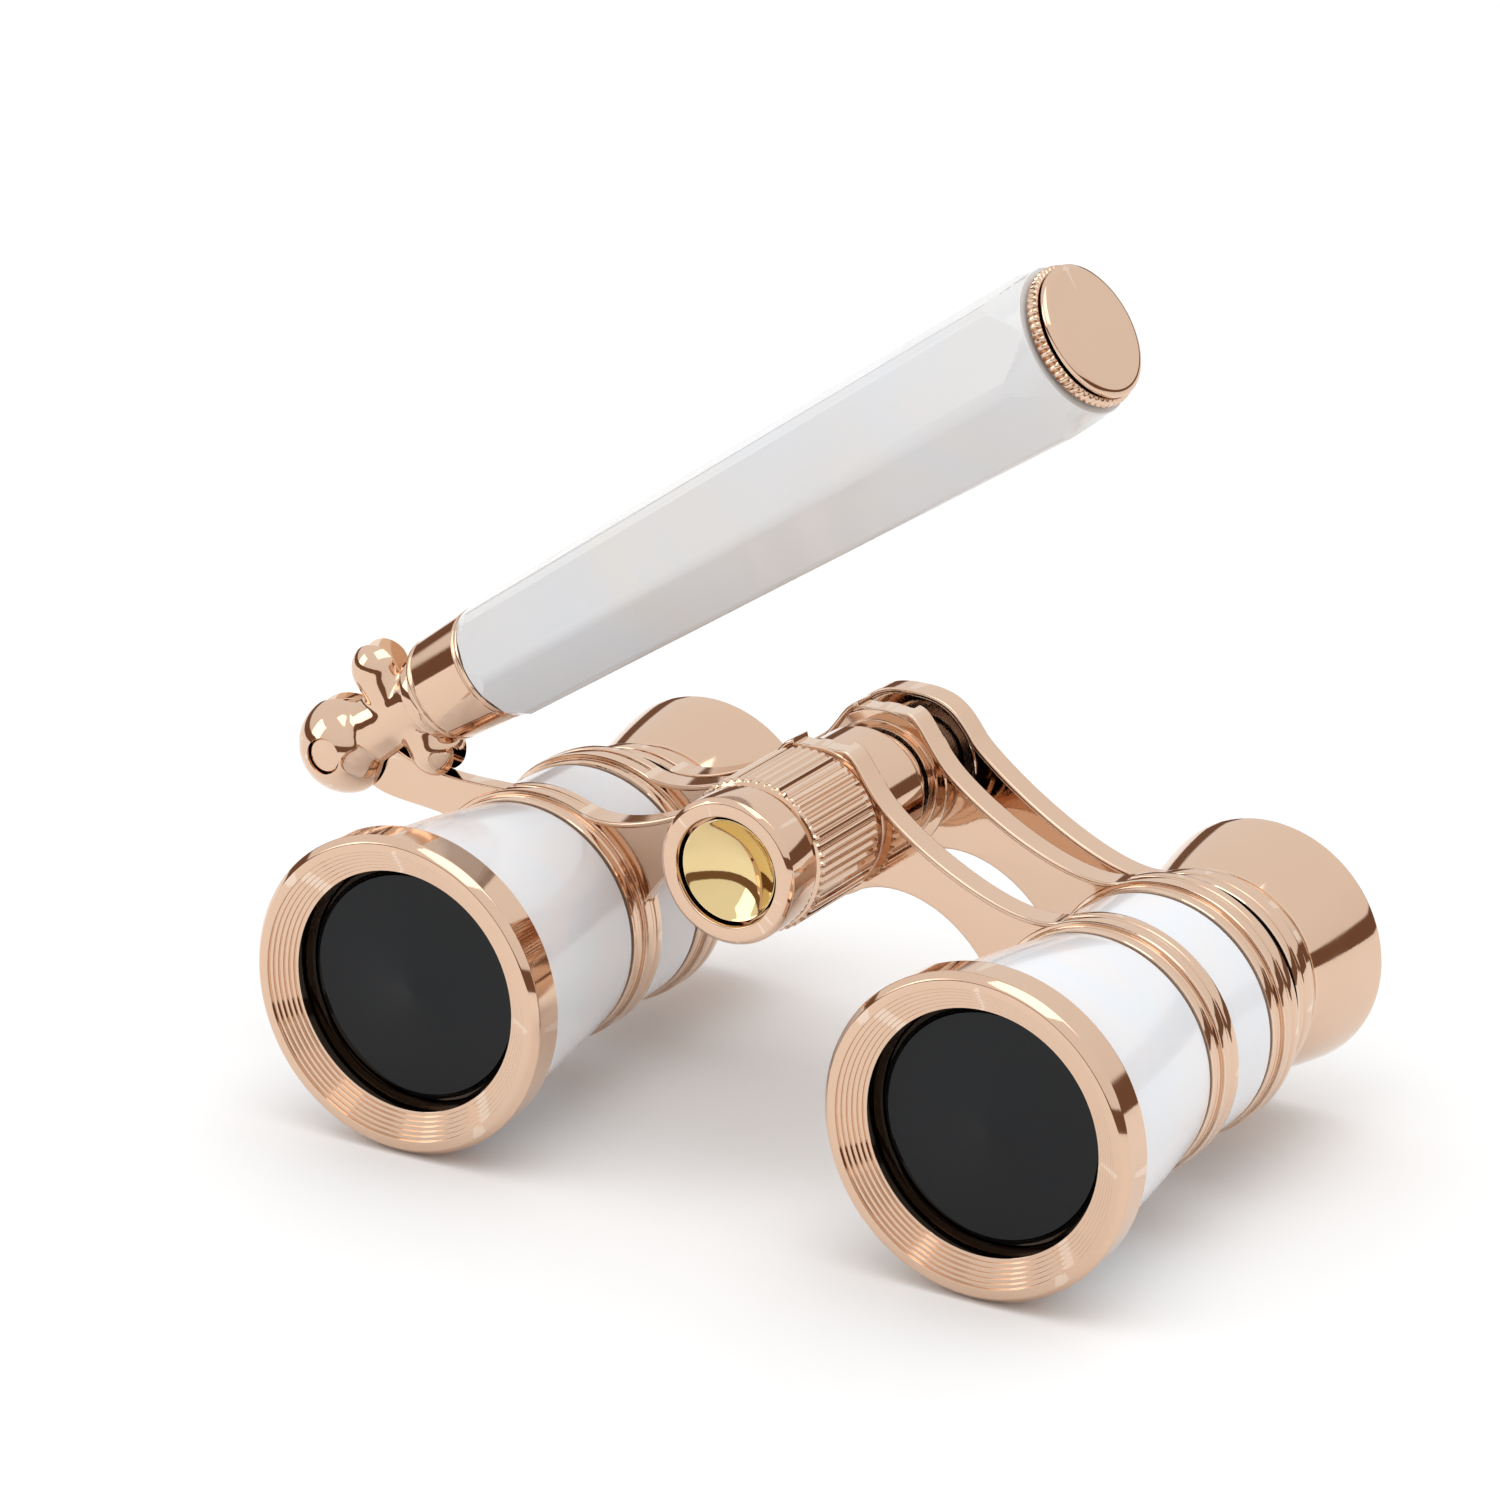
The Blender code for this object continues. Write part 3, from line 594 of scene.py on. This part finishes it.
def make_enamel(name, base, pearl, shade, cloud_size):
    material, tree, shader, place = new_material(
        name, metallic=0.0, Coat_Weight=0.35, Coat_Roughness=0.08, IOR=1.46, Specular_IOR_Level=0.35)
    smudges, grain = add_marks(tree, place, smudge_size=70.0, grain_size=2600.0)
    cloud = add_node(tree, "ShaderNodeTexNoise", {
        "Vector": place, "Scale": cloud_size, "Detail": 4.0, "Roughness": 0.5, "Distortion": 1.2})
    bloom = add_node(tree, "ShaderNodeMapRange", {
        "Value": cloud.outputs["Fac"], "From Min": 0.38, "From Max": 0.66}, clamp=True)
    veil = add_node(tree, "ShaderNodeTexNoise", {
        "Vector": place, "Scale": cloud_size * 0.5, "Detail": 2.0})
    veiled = add_node(tree, "ShaderNodeMapRange", {
        "Value": veil.outputs["Fac"], "From Min": 0.52, "From Max": 0.80, "To Max": 0.45}, clamp=True)
    pearly = blend_colours(tree, bloom.outputs["Result"], base, pearl)
    shaded = blend_colours(tree, veiled.outputs["Result"], pearly, shade)
    tree.links.new(shaded, shader.inputs["Base Color"])
    tree.links.new(between(tree, smudges, low=0.10, high=0.24), shader.inputs["Roughness"])
    raise_surface(tree, shader, grain, depth_mm=0.004)
    return material


enamel = make_enamel("pearl_enamel", ENAMEL, ENAMEL_PEARL, ENAMEL_SHADE, cloud_size=60.0)

for side in SIDES:
    low, high = ends(f"front_shell_{side}")
    flare = [(high, COVER_R, 0.15)] + swept((high, COVER_R), (low, FLARED_R), -0.28, 14)[1:]
    inside = [(station, radius - COVER_WALL) for station, radius, *_ in flare]
    cover = turned(f"front_cover_{side}", barrel[side], BARREL_LINE, flare + inside[::-1], sides=160)
    fit(cover, "body", "white_enamel", enamel, f"front_shell_{side}")
    low, high = ends(f"rear_shell_{side}")
    cover = turned(f"rear_cover_{side}", barrel[side], BARREL_LINE, [
        (high, COVER_R, 0.15), (low, COVER_R, 0.15),
        (low, COVER_R - COVER_WALL), (high, COVER_R - COVER_WALL)], sides=160)
    fit(cover, "body", "white_enamel", enamel, f"rear_shell_{side}")

# Objectives. A turned and plated ring screws on to the front of each barrel, its mouth cut in
# fine steps down to the lens, which is a convex, dark-coated glass.
STEPS_IN_MOUTH = 6
STEP_DEPTH = 0.28
MOUTH_R = 12.1
THREAD_R = 12.6                                        # the ring's bore, which fits the barrel
LENS_REST = 5.0                                        # depth at which the mouth meets the thread
GLASS_R = 11.9
CROWN_TO = (3.75, GLASS_R - 0.9)                       # where the lens face turns down to its edge
LENS_TINT = (0.0025, 0.0027, 0.0030, 1.0)
LENS_BLOOM = (0.0040, 0.0055, 0.0080, 1.0)


def make_coated_glass(name, tint, bloom_tint):
    """Lens glass seen against a blackened tube, with a coating that changes slightly over it."""
    material, tree, shader, place = new_material(
        name, metallic=0.0, IOR=1.5, Specular_IOR_Level=0.26)
    smudges, grain = add_marks(tree, place, smudge_size=140.0, grain_size=6000.0)
    cloud = add_node(tree, "ShaderNodeTexNoise", {"Vector": place, "Scale": 45.0, "Detail": 2.0})
    coated = blend_colours(tree, cloud.outputs["Fac"], tint, bloom_tint)
    tree.links.new(coated, shader.inputs["Base Color"])
    tree.links.new(between(tree, smudges, low=0.015, high=0.07), shader.inputs["Roughness"])
    raise_surface(tree, shader, grain, depth_mm=0.0004)
    return material


lens_glass = make_coated_glass("coated_glass", LENS_TINT, LENS_BLOOM)

for side in SIDES:
    length = (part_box(f"objective_ring_{side}")[1].y - front_y) / MM
    outer_r = (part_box(f"objective_ring_{side}")[1].x - barrel[side].x) / MM
    band_r = outer_r - 1.5
    tread = (band_r - MOUTH_R) / STEPS_IN_MOUTH
    mouth = []
    for step in range(STEPS_IN_MOUTH):
        depth = 0.05 + STEP_DEPTH * (step + 1)
        step_r = band_r - tread * step
        mouth += [(depth, step_r, 0.06), (depth, step_r - tread, 0.06)]
    ring = turned(f"objective_rim_{side}", barrel[side], BARREL_LINE, [
        (length, outer_r - 0.1, 0.2), (0.75, outer_r, 0.12), (0.0, outer_r - 0.6, 0.15),
        (0.0, band_r, 0.06), *mouth, (LENS_REST, MOUTH_R - 0.1, 0.06), (LENS_REST, THREAD_R, 0.05),
        (length, THREAD_R, 0.05)], sides=192)
    fit(ring, "body", "rose_gold", turned_gold, f"objective_ring_{side}")
    crown = swept((2.9, 0), CROWN_TO, -0.3, 16)
    edge = swept(CROWN_TO, (4.7, GLASS_R), -0.22, 8)
    back_face = swept((6.3, 0), (5.6, GLASS_R), 0.1, 10)
    lens = turned(f"objective_glass_{side}", barrel[side], BARREL_LINE,
                  [*back_face, *edge[::-1], *crown[-2::-1]], sides=128)
    fit(lens, "body", "glass", lens_glass, f"objective_lens_{side}")

# Focusing screw. A steel screw turns in a bush in the front bridge and draws the steel drive
# tube, which slides in a bush in the rear bridge; a plated sleeve covers them between the two.
STEEL = (0.560, 0.560, 0.575, 1.0)
STEEL_DARK = (0.400, 0.395, 0.400, 1.0)
STEEL_BRIGHT = (0.700, 0.700, 0.710, 1.0)
SLEEVE_BORE = 4.2
SLEEVE_R = 6.5
SLEEVE_NECK_R = 5.2
DRIVE_R = 3.9
DRIVE_BORE = 2.9
DRIVE_BORE_END = 41.2
turned_steel = make_plated("turned_steel", STEEL, STEEL_DARK, STEEL_BRIGHT, ROUND_THE_BARREL,
                           dullness=(0.2, 0.36), line_depth=0.004)
for node in ("focus_spindle", "spindle_bearing", "slide_bush", "tie_rod", "hinge_nut"):
    refinish(node, turned_steel)

low, high = ends("focus_sleeve")
sleeve = turned("focus_tube", focus, BARREL_LINE, [
    (low, SLEEVE_BORE, 0.1), (low, SLEEVE_R, 0.2), (high - 2.5, SLEEVE_R, 0.35),
    (high - 2.1, SLEEVE_NECK_R, 0.15), (high - 0.9, SLEEVE_NECK_R, 0.1),
    (high - 0.8, SLEEVE_NECK_R - 0.2, 0.05), (high - 0.6, SLEEVE_NECK_R - 0.2, 0.05),
    (high - 0.5, SLEEVE_NECK_R, 0.1), (high, SLEEVE_NECK_R, 0.15), (high, SLEEVE_BORE, 0.1)], sides=96)
fit(sleeve, "body", "rose_gold", turned_gold, "focus_sleeve")

low, high = ends("drive_tube")
drive = turned("drive_slide", focus, BARREL_LINE, [
    (high, 0), (high, DRIVE_R, 0.2), (low, DRIVE_R, 0.2), (low, DRIVE_BORE, 0.1),
    (DRIVE_BORE_END, DRIVE_BORE), (DRIVE_BORE_END, 0)], sides=96)
fit(drive, "eyepieces", "steel", turned_steel, "drive_tube")

# Focusing knob. A turned brass knob with straight flutes cut round its grip, a smooth collar and
# front ring, and a shallow dish of brighter yellow gold pressed into its end.
YELLOW_GOLD = (0.800, 0.640, 0.350, 1.0)
YELLOW_GOLD_DEEP = (0.720, 0.530, 0.240, 1.0)
YELLOW_GOLD_RUBBED = (0.860, 0.730, 0.480, 1.0)
COLLAR_R = 7.2
GRIP_R = 7.6
GROOVE_R = 6.65
KNOB_BORE = 2.9
FLUTES = 54
CUTS_PER_FLUTE = 8
FLUTE_SHAPE = {2: 0.45, 3: 0.9, 4: 1.0, 5: 0.9, 6: 0.45}       # share of the depth at each cut
FLUTE_DEPTH = 0.26
SOCKET_R = 5.3
SOCKET_END = 11.3
DISH_R = 5.0
BOWL_R = 4.75
BOWL_DEPTH = 2.0
BOWL_STEPS = 16
yellow_gold = make_plated("dish_yellow_gold", YELLOW_GOLD, YELLOW_GOLD_DEEP, YELLOW_GOLD_RUBBED,
                          EVERY_WAY)


def let_in(piece, origin, along, count, shape, depth, reach_r, first, last):
    """Draws the lines of a turned piece's grip towards its axis, to make flutes or beads. Along
    the barrels its length is kept; on any other line it shrinks by the same small share."""
    along = Vector(along).normalized()
    out = along.orthogonal().normalized()
    across = along.cross(out)
    pick(piece)
    bpy.ops.object.mode_set(mode="EDIT")
    bpy.ops.mesh.select_mode(type="VERT")
    for cut, share in shape.items():
        mesh = bmesh.from_edit_mesh(piece.data)
        for vertex in mesh.verts:
            arm = vertex.co - origin
            station = arm.dot(along) / MM
            x, z = arm.dot(out) / MM, arm.dot(across) / MM
            row = round(math.atan2(z, x) / (2 * math.pi) * count * CUTS_PER_FLUTE)
            vertex.select = (first < station < last and math.hypot(x, z) > reach_r
                             and row % CUTS_PER_FLUTE == cut)
        mesh.select_flush_mode()
        bmesh.update_edit_mesh(piece.data)
        inward = 1 - depth * share / reach_r
        lengthways = 1 if along.y == 1 else inward
        bpy.ops.transform.resize(value=(inward, lengthways, inward),
                                 center_override=origin + along * (first + last) / 2 * MM)
    bpy.ops.mesh.select_all(action="DESELECT")
    bpy.ops.object.mode_set(mode="OBJECT")


low, high = ends("focus_knob")
grip_from = low + 4.5
knob = turned("focusing_knob", focus, BARREL_LINE, [
    (high, GRIP_R - 1.3, 0.1), (high - 0.45, GRIP_R - 0.9, 0.1), (high - 0.7, GRIP_R - 0.25, 0.1),
    (high - 1.0, GRIP_R, 0.15), (grip_from + 0.85, GRIP_R, 0.15), (grip_from + 0.55, GRIP_R - 0.3, 0.1),
    (grip_from + 0.30, GROOVE_R, 0.08), (grip_from + 0.05, GROOVE_R, 0.08),
    (grip_from - 0.15, COLLAR_R, 0.12), (low + 0.45, COLLAR_R, 0.12), (low, COLLAR_R - 0.45, 0.12),
    (low, SOCKET_R + 0.15, 0.1), (low + 0.35, SOCKET_R, 0.08), (SOCKET_END, SOCKET_R),
    (SOCKET_END, KNOB_BORE), (high, KNOB_BORE)], sides=FLUTES * CUTS_PER_FLUTE)
let_in(knob, focus, BARREL_LINE, FLUTES, FLUTE_SHAPE, FLUTE_DEPTH, reach_r=GRIP_R - 0.28,
       first=grip_from + 0.5, last=high - 0.65)
fit(knob, "focus", "rose_gold", turned_gold, "focus_knob")

bowl_bottom = low + 2.75
bowl = []
for step in range(BOWL_STEPS + 1):
    share = 1 - step / BOWL_STEPS
    bowl.append((bowl_bottom - BOWL_DEPTH * share ** 2, BOWL_R * share))
dish = turned("knob_end_dish", focus, BARREL_LINE, [
    (11.0, 0), (11.0, DISH_R, 0.1), (low + 0.55, DISH_R, 0.1), *bowl], sides=128)
fit(dish, "focus", "yellow_gold", yellow_gold, "knob_dish")

# Sliding bridge and eyecups. The third plate carries both eyepieces and is drawn to and fro by
# the drive tube, to which a domed slotted screw holds it; flared eyecups screw on behind it.
SCREW_R = 1.8
SCREW_HEAD_R = 4.2
SCREW_HEAD_FROM = 46.0
SCREW_SLOT = (9.0, 1.1, 0.7)                           # across the head, twice its depth, width
EYECUP_BORE = 9.6
EYE_HOLE_R = 6.5
EYE_LENS_R = 7.7
sliding_plate = bridge("sliding_bridge_plate", "eyepiece_bridge", sliding_ring, SLIDING_RING_R,
                       SLIDING_RING_BORE, SLIDING_BOSS_BORE, rise=0.8, over_boss=True, with_arm=False)
fit(sliding_plate, "eyepieces", "rose_gold", cast_gold, "eyepiece_bridge")

low, high = ends("bridge_screw")
dome = swept((high, 0), (high - 0.55, 3.7), 0.12, 8)
screw = turned("bridge_screw_head", focus, BARREL_LINE, [
    *dome, (high - 0.8, SCREW_HEAD_R, 0.15), (SCREW_HEAD_FROM, SCREW_HEAD_R, 0.1),
    (SCREW_HEAD_FROM, SCREW_R, 0.05), (low, SCREW_R, 0.2), (low, 0)], sides=96)
combine(screw, block(SCREW_SLOT, focus + Vector((0, high * MM, 0))), "DIFFERENCE")
fit(screw, "eyepieces", "rose_gold", turned_gold, "bridge_screw")

for side in SIDES:
    low, high = ends(f"eyecup_{side}")
    flare = swept((high - 0.35, 12.5), (low + 2.3, 10.35), -0.22, 14)
    bowl = swept((49.6, EYE_HOLE_R), (high - 0.8, 11.3), 0.5, 12)
    cup = turned(f"eye_cup_{side}", barrel[side], BARREL_LINE, [
        (high, 12.2, 0.2), (high - 0.2, 12.5, 0.1), *flare[1:], (low + 2.2, 10.1, 0.05),
        (low + 2.0, 10.1, 0.05), (low + 1.9, 10.4, 0.1), (low + 0.3, 10.4, 0.2), (low, 10.1, 0.15),
        (low, EYECUP_BORE, 0.05), (48.6, EYECUP_BORE), (48.6, EYE_HOLE_R, 0.1), *bowl,
        (high - 0.15, 11.75, 0.15)], sides=160)
    fit(cup, "eyepieces", "rose_gold", turned_gold, f"eyecup_{side}")
    eye_lens = turned(f"eye_glass_{side}", barrel[side], BARREL_LINE, [
        (45.7, 0), (45.7, 2.0), (45.55, 4.6), (45.2, EYE_LENS_R, 0.05),
        (47.4, EYE_LENS_R, 0.05), (47.05, 4.6), (46.9, 2.0), (46.9, 0)], sides=96)
    fit(eye_lens, "eyepieces", "glass", lens_glass, f"ocular_lens_{side}")

# Handle joint. A cast fork with a ball end and two side knuckles grips the arm's eye; the pin
# that it turns on has a round head set nearly flush in the ball and a nut behind.
handle_turn = math.radians(34.7)
HANDLE_LINE = Vector((math.cos(handle_turn), 0, math.sin(handle_turn)))
HANDLE_SIDE = Vector((-math.sin(handle_turn), 0, math.cos(handle_turn)))
BALL_R = 5.0
NECK_R = 3.4
KNUCKLES = ((8.0, 4.9, 2.95), (9.5, -4.6, 2.85))       # along the handle, out from it, radius
COLLAR_FROM, COLLAR_TO, YOKE_COLLAR_R = 11.6, 13.1, 4.4
SPIGOT_R = 3.0
SPIGOT_TO = 18.0
ROD_BORE = 1.8
NECK_FROM = 2.0
FORK_SLOT = (18.9, 2.3, 22.0)                          # along the handle, thickness, across it
FORK_SLOT_MIDDLE = 2.55
PIN_SEAT_FROM, PIN_SEAT_TO = -6, 6
PIN_HEAD_SEAT_R = 1.86
PIN_NUT_SEAT_R = 2.5
SKIN_DETAIL = 0.16
SKIN_SOFTENING = 0.5
SKIN_PASSES = 40


def on_handle(along, out=0.0):
    return pivot + (HANDLE_LINE * along + HANDLE_SIDE * out) * MM


def ball(radius, place):
    bpy.ops.mesh.primitive_uv_sphere_add(segments=48, ring_count=32, radius=radius * MM,
                                         location=place)
    made = bpy.context.object
    bpy.ops.object.transform_apply()
    return made


yoke = turned("handle_yoke", pivot, HANDLE_LINE, [
    (COLLAR_TO, 0), (COLLAR_TO, SPIGOT_R), (12.0, NECK_R), (10.6, NECK_R), (7.2, NECK_R - 0.3),
    (4.4, NECK_R), (NECK_FROM, NECK_R), (NECK_FROM, 0)], sides=64)
combine(yoke, ball(BALL_R, pivot), "UNION")
for along, out, radius in KNUCKLES:
    link = turned("knuckle_link", on_handle(along), HANDLE_SIDE * math.copysign(1, out), [
        (abs(out), 0), (abs(out), radius * 0.97), (0, radius), (0, 0)], sides=48)
    combine(yoke, link, "UNION")
    combine(yoke, ball(radius, on_handle(along, out)), "UNION")
one_skin = yoke.modifiers.new("cast_surface", "REMESH")
one_skin.mode = "VOXEL"
one_skin.voxel_size = SKIN_DETAIL * MM
softened = yoke.modifiers.new("tumbled", "SMOOTH")
softened.factor = SKIN_SOFTENING
softened.iterations = SKIN_PASSES
for modifier in ("cast_surface", "tumbled"):
    bpy.ops.object.modifier_apply(modifier=modifier)
fork_slot = block(FORK_SLOT, (0, 0, 0))
slot_tilt = Matrix.Rotation(-handle_turn, 4, "Y")
fork_slot.data.transform(Matrix.Translation(on_handle(FORK_SLOT_MIDDLE)) @ slot_tilt)
combine(yoke, fork_slot, "DIFFERENCE")
pin_seat = turned("pin_seat", pivot, BARREL_LINE, [
    (PIN_SEAT_TO, 0), (PIN_SEAT_TO, PIN_NUT_SEAT_R), (2.9, PIN_NUT_SEAT_R), (2.9, PIVOT_BORE),
    (-3.4, PIVOT_BORE), (-3.4, PIN_HEAD_SEAT_R), (PIN_SEAT_FROM, PIN_HEAD_SEAT_R),
    (PIN_SEAT_FROM, 0)], sides=64)
combine(yoke, pin_seat, "DIFFERENCE")
collar = turned("yoke_collar", pivot, HANDLE_LINE, [
    (SPIGOT_TO, ROD_BORE), (SPIGOT_TO, SPIGOT_R), (COLLAR_TO, SPIGOT_R),
    (COLLAR_TO, YOKE_COLLAR_R, 0.35), (COLLAR_FROM, YOKE_COLLAR_R, 0.35), (COLLAR_FROM, ROD_BORE)],
    sides=96)
combine(yoke, collar, "UNION")
fit(yoke, "handle", "rose_gold", cast_gold, "hinge_yoke", sharp_over=40.0)

pin_low, pin_high = ((corner.y - pivot.y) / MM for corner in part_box("hinge_pin"))
shank_r, head_r, head_end = 1.5, 1.75, pin_low + 0.9
head_face = swept((pin_low + 0.12, 1.6), (pin_low, 0), -0.02, 6)
pin = turned("handle_pin", pivot, BARREL_LINE, [
    (pin_high, 0), (pin_high, shank_r, 0.15), (head_end, shank_r), (head_end, head_r, 0.05),
    (pin_low + 0.25, head_r, 0.1), *head_face], sides=64)
fit(pin, "handle", "rose_gold", turned_gold, "hinge_pin")

# Handle. A plated ferrule, a six-sided tapered grip of white lacquer and a beaded end ring are
# drawn together by a steel rod inside, and a flat plated disc closes the end.
LACQUER = (0.700, 0.720, 0.750, 1.0)
LACQUER_PEARL = (0.730, 0.715, 0.695, 1.0)
LACQUER_SHADE = (0.640, 0.645, 0.650, 1.0)
GRIP_FROM, GRIP_TO = 21.6, 96.8
NEAR_FLAT, FAR_FLAT = 5.8, 7.4                        # half the distance across flats
GRIP_ROLL = math.radians(8.0)
CORNER_ROUND = 0.9
lacquer = make_enamel("white_lacquer", LACQUER, LACQUER_PEARL, LACQUER_SHADE, cloud_size=34.0)
handle_gold = make_plated("handle_rose_gold", *ROSE_GOLDS, EVERY_WAY)

ferrule = turned("handle_ferrule", pivot, HANDLE_LINE, [
    (13.4, 3.3), (13.4, 4.9, 0.2), (13.75, 5.3, 0.12), (14.1, 5.33, 0.1), (14.2, 5.15, 0.05),
    (14.4, 5.15, 0.05), (14.5, 5.36, 0.1), (20.6, 5.75, 0.1), (20.7, 5.6, 0.05), (20.85, 5.6, 0.05),
    (20.95, 5.8, 0.1), (21.3, 5.8, 0.12), (21.3, ROD_BORE), (18.3, ROD_BORE), (18.3, 3.3)],
    sides=128)
fit(ferrule, "handle", "rose_gold", handle_gold, "ferrule")

to_corner = 1 / math.cos(math.radians(30))
near_corner = NEAR_FLAT * to_corner
far_corner = FAR_FLAT * to_corner
bpy.ops.mesh.primitive_cone_add(vertices=6, radius1=near_corner * MM, radius2=far_corner * MM,
                                depth=(GRIP_TO - GRIP_FROM) * MM, location=(0, 0, 0))
grip = bpy.context.object
grip.name = "six_sided_grip"
grip.data.name = "six_sided_grip"
bpy.ops.object.mode_set(mode="EDIT")
bpy.ops.mesh.select_mode(type="EDGE")
bpy.ops.mesh.select_all(action="DESELECT")
shape = bmesh.from_edit_mesh(grip.data)
for edge in shape.edges:
    start, end = edge.verts
    edge.select = abs(start.co.z - end.co.z) > 10 * MM
bmesh.update_edit_mesh(grip.data)
bpy.ops.mesh.bevel(offset=CORNER_ROUND * MM, segments=5, affect="EDGES")
bpy.ops.object.mode_set(mode="OBJECT")
turn = Matrix.Rotation(math.pi / 2 - handle_turn, 4, "Y") @ Matrix.Rotation(GRIP_ROLL, 4, "Z")
grip.data.transform(Matrix.Translation(on_handle((GRIP_FROM + GRIP_TO) / 2)) @ turn)
far_round = swept((GRIP_TO - 0.15, 7.35), (GRIP_TO - 5.0, far_corner + 0.1), 0.25, 8)
near_round = swept((GRIP_FROM + 2.6, near_corner + 0.3), (GRIP_FROM, 5.95), 0.12, 6)
envelope = turned("grip_envelope", pivot, HANDLE_LINE, [
    (GRIP_TO, ROD_BORE), (GRIP_TO, 7.25), *far_round, *near_round, (GRIP_FROM, ROD_BORE)], sides=192)
combine(grip, envelope, "INTERSECT")
fit(grip, "handle", "white_grip", lacquer, "grip", sharp_over=24.0)

BEADS = 60
BEAD_SHAPE = {0: 1.0, 1: 0.7, 7: 0.7, 2: 0.2, 6: 0.2}
BEAD_DEPTH = 0.28
END_RING = (97.1, 98.4, 7.0)                           # start, end, radius over the beads
END_DISC = (98.7, 99.4, 6.6)                           # start, end, radius
low, high, bead_r = END_RING
end_ring = turned("beaded_end_ring", pivot, HANDLE_LINE, [
    (high, ROD_BORE), (high, 6.5, 0.1), (98.25, 6.85, 0.1), (98.0, bead_r, 0.12),
    (97.5, bead_r, 0.12), (97.25, 6.85, 0.1), (low, 6.6, 0.1), (low, ROD_BORE)],
    sides=BEADS * CUTS_PER_FLUTE)
let_in(end_ring, pivot, HANDLE_LINE, BEADS, BEAD_SHAPE, BEAD_DEPTH, reach_r=6.7,
       first=97.2, last=98.3)
fit(end_ring, "handle", "rose_gold", handle_gold, "grip_end_ring")
low, high, disc_r = END_DISC
end_disc = turned("handle_end_disc", pivot, HANDLE_LINE, [
    (high, 0), (high, 3.0), (99.36, 6.1, 0.2), (99.1, disc_r, 0.15), (low, disc_r, 0.1), (low, 0)],
    sides=128)
fit(end_disc, "handle", "rose_gold", handle_gold, "end_cap")

# Stage: a plain pale floor under the objective rings, soft light from large overhead panels and
# a bright room with a dark band along the horizon for the plating to mirror.
FLOOR_COLOUR = (0.93, 0.93, 0.93, 1.0)
FLOOR_MARKS = (0.90, 0.90, 0.905, 1.0)
FLOOR_SIZE = 1.3
FLOOR_GAP = 0.2 * MM
WHITE = (1.0, 1.0, 1.0, 1.0)
WARM_DARK = (0.20, 0.11, 0.07, 1.0)
OFF_WHITE = (0.95, 0.94, 0.93, 1.0)
ROOM_STOPS = (                                         # from straight down, 0, to straight up, 1
    (0.470, WHITE), (0.478, WARM_DARK), (0.588, WARM_DARK), (0.600, OFF_WHITE), (0.80, WHITE))
bpy.ops.mesh.primitive_plane_add(size=FLOOR_SIZE, location=(0, 0, cad_bounds[0][2] - FLOOR_GAP))
floor = bpy.context.object
floor.name = "floor"
bpy.ops.object.transform_apply()
floor_finish, tree, shader, place = new_material("pale_floor", metallic=0.0)
smudges, grain = add_marks(tree, place, smudge_size=6.0, grain_size=900.0)
marked = blend_colours(tree, smudges, FLOOR_COLOUR, FLOOR_MARKS)
tree.links.new(marked, shader.inputs["Base Color"])
tree.links.new(between(tree, grain, low=0.7, high=0.85), shader.inputs["Roughness"])
floor.data.materials.append(floor_finish)

room = bpy.data.worlds.new("studio")
bpy.context.scene.world = room
room.use_nodes = True
tree = room.node_tree
backdrop = tree.nodes["Background"]
direction = add_node(tree, "ShaderNodeTexCoord")
split = add_node(tree, "ShaderNodeSeparateXYZ", {"Vector": direction.outputs["Generated"]})
height = tree.nodes.new("ShaderNodeValToRGB")
upward = add_node(tree, "ShaderNodeMapRange", {"Value": split.outputs["Z"], "From Min": -1.0})
tree.links.new(upward.outputs["Result"], height.inputs["Fac"])
for stop in height.color_ramp.elements:
    stop.color = WHITE
for position, shade in ROOM_STOPS:
    stop = height.color_ramp.elements.new(position)
    stop.color = shade
seen = add_node(tree, "ShaderNodeLightPath")
room_colour = blend_colours(tree, seen.outputs["Is Camera Ray"], height.outputs["Color"], WHITE)
tree.links.new(room_colour, backdrop.inputs["Color"])
backdrop.inputs["Strength"].default_value = 1.0


def panel(name, place, aim, size, power):
    """A rectangular lamp that faces the point it is aimed at."""
    light = bpy.data.lights.new(name, "AREA")
    light.shape = "RECTANGLE"
    light.size, light.size_y = size
    light.energy = power
    lamp = bpy.data.objects.new(name, light)
    facing = (Vector(place) - Vector(aim)).to_track_quat("Z", "Y")
    lamp.matrix_world = Matrix.Translation(place) @ facing.to_matrix().to_4x4()
    bpy.context.collection.objects.link(lamp)


panel("overhead_panel", (0.15, -0.1, 0.9), (0, 0, 0.03), (0.9, 0.6), 2.2)
panel("left_panel", (-0.8, -0.5, 0.45), (0, 0, 0.03), (0.5, 0.5), 1.2)

AZIMUTH, ELEVATION, ROLL = (math.radians(angle) for angle in (30.77, 20.43, -0.77))
DISTANCE = 714.5 * MM
LENS_MM = 184.7
SENSOR_MM = 36.0
AIM_FROM_MIDDLE = (0.215, 12.142, 27.712)
level = math.cos(ELEVATION)
back = Vector((math.sin(AZIMUTH) * level, -math.cos(AZIMUTH) * level, math.sin(ELEVATION)))
right = Vector((math.cos(AZIMUTH), math.sin(AZIMUTH), 0))
up = back.cross(right)
aim = middle + Vector(AIM_FROM_MIDDLE) * MM
rolled_right = right * math.cos(ROLL) - up * math.sin(ROLL)
rolled_up = right * math.sin(ROLL) + up * math.cos(ROLL)
camera_data = bpy.data.cameras.new("camera")
camera_data.sensor_width = SENSOR_MM
camera_data.lens = LENS_MM
camera_data.clip_start = 0.01
camera = bpy.data.objects.new("camera", camera_data)
view = Matrix((rolled_right, rolled_up, back)).transposed().to_4x4()
camera.matrix_world = Matrix.Translation(aim + back * DISTANCE) @ view
bpy.context.collection.objects.link(camera)
bpy.context.scene.camera = camera
bpy.context.scene.view_settings.view_transform = "Standard"
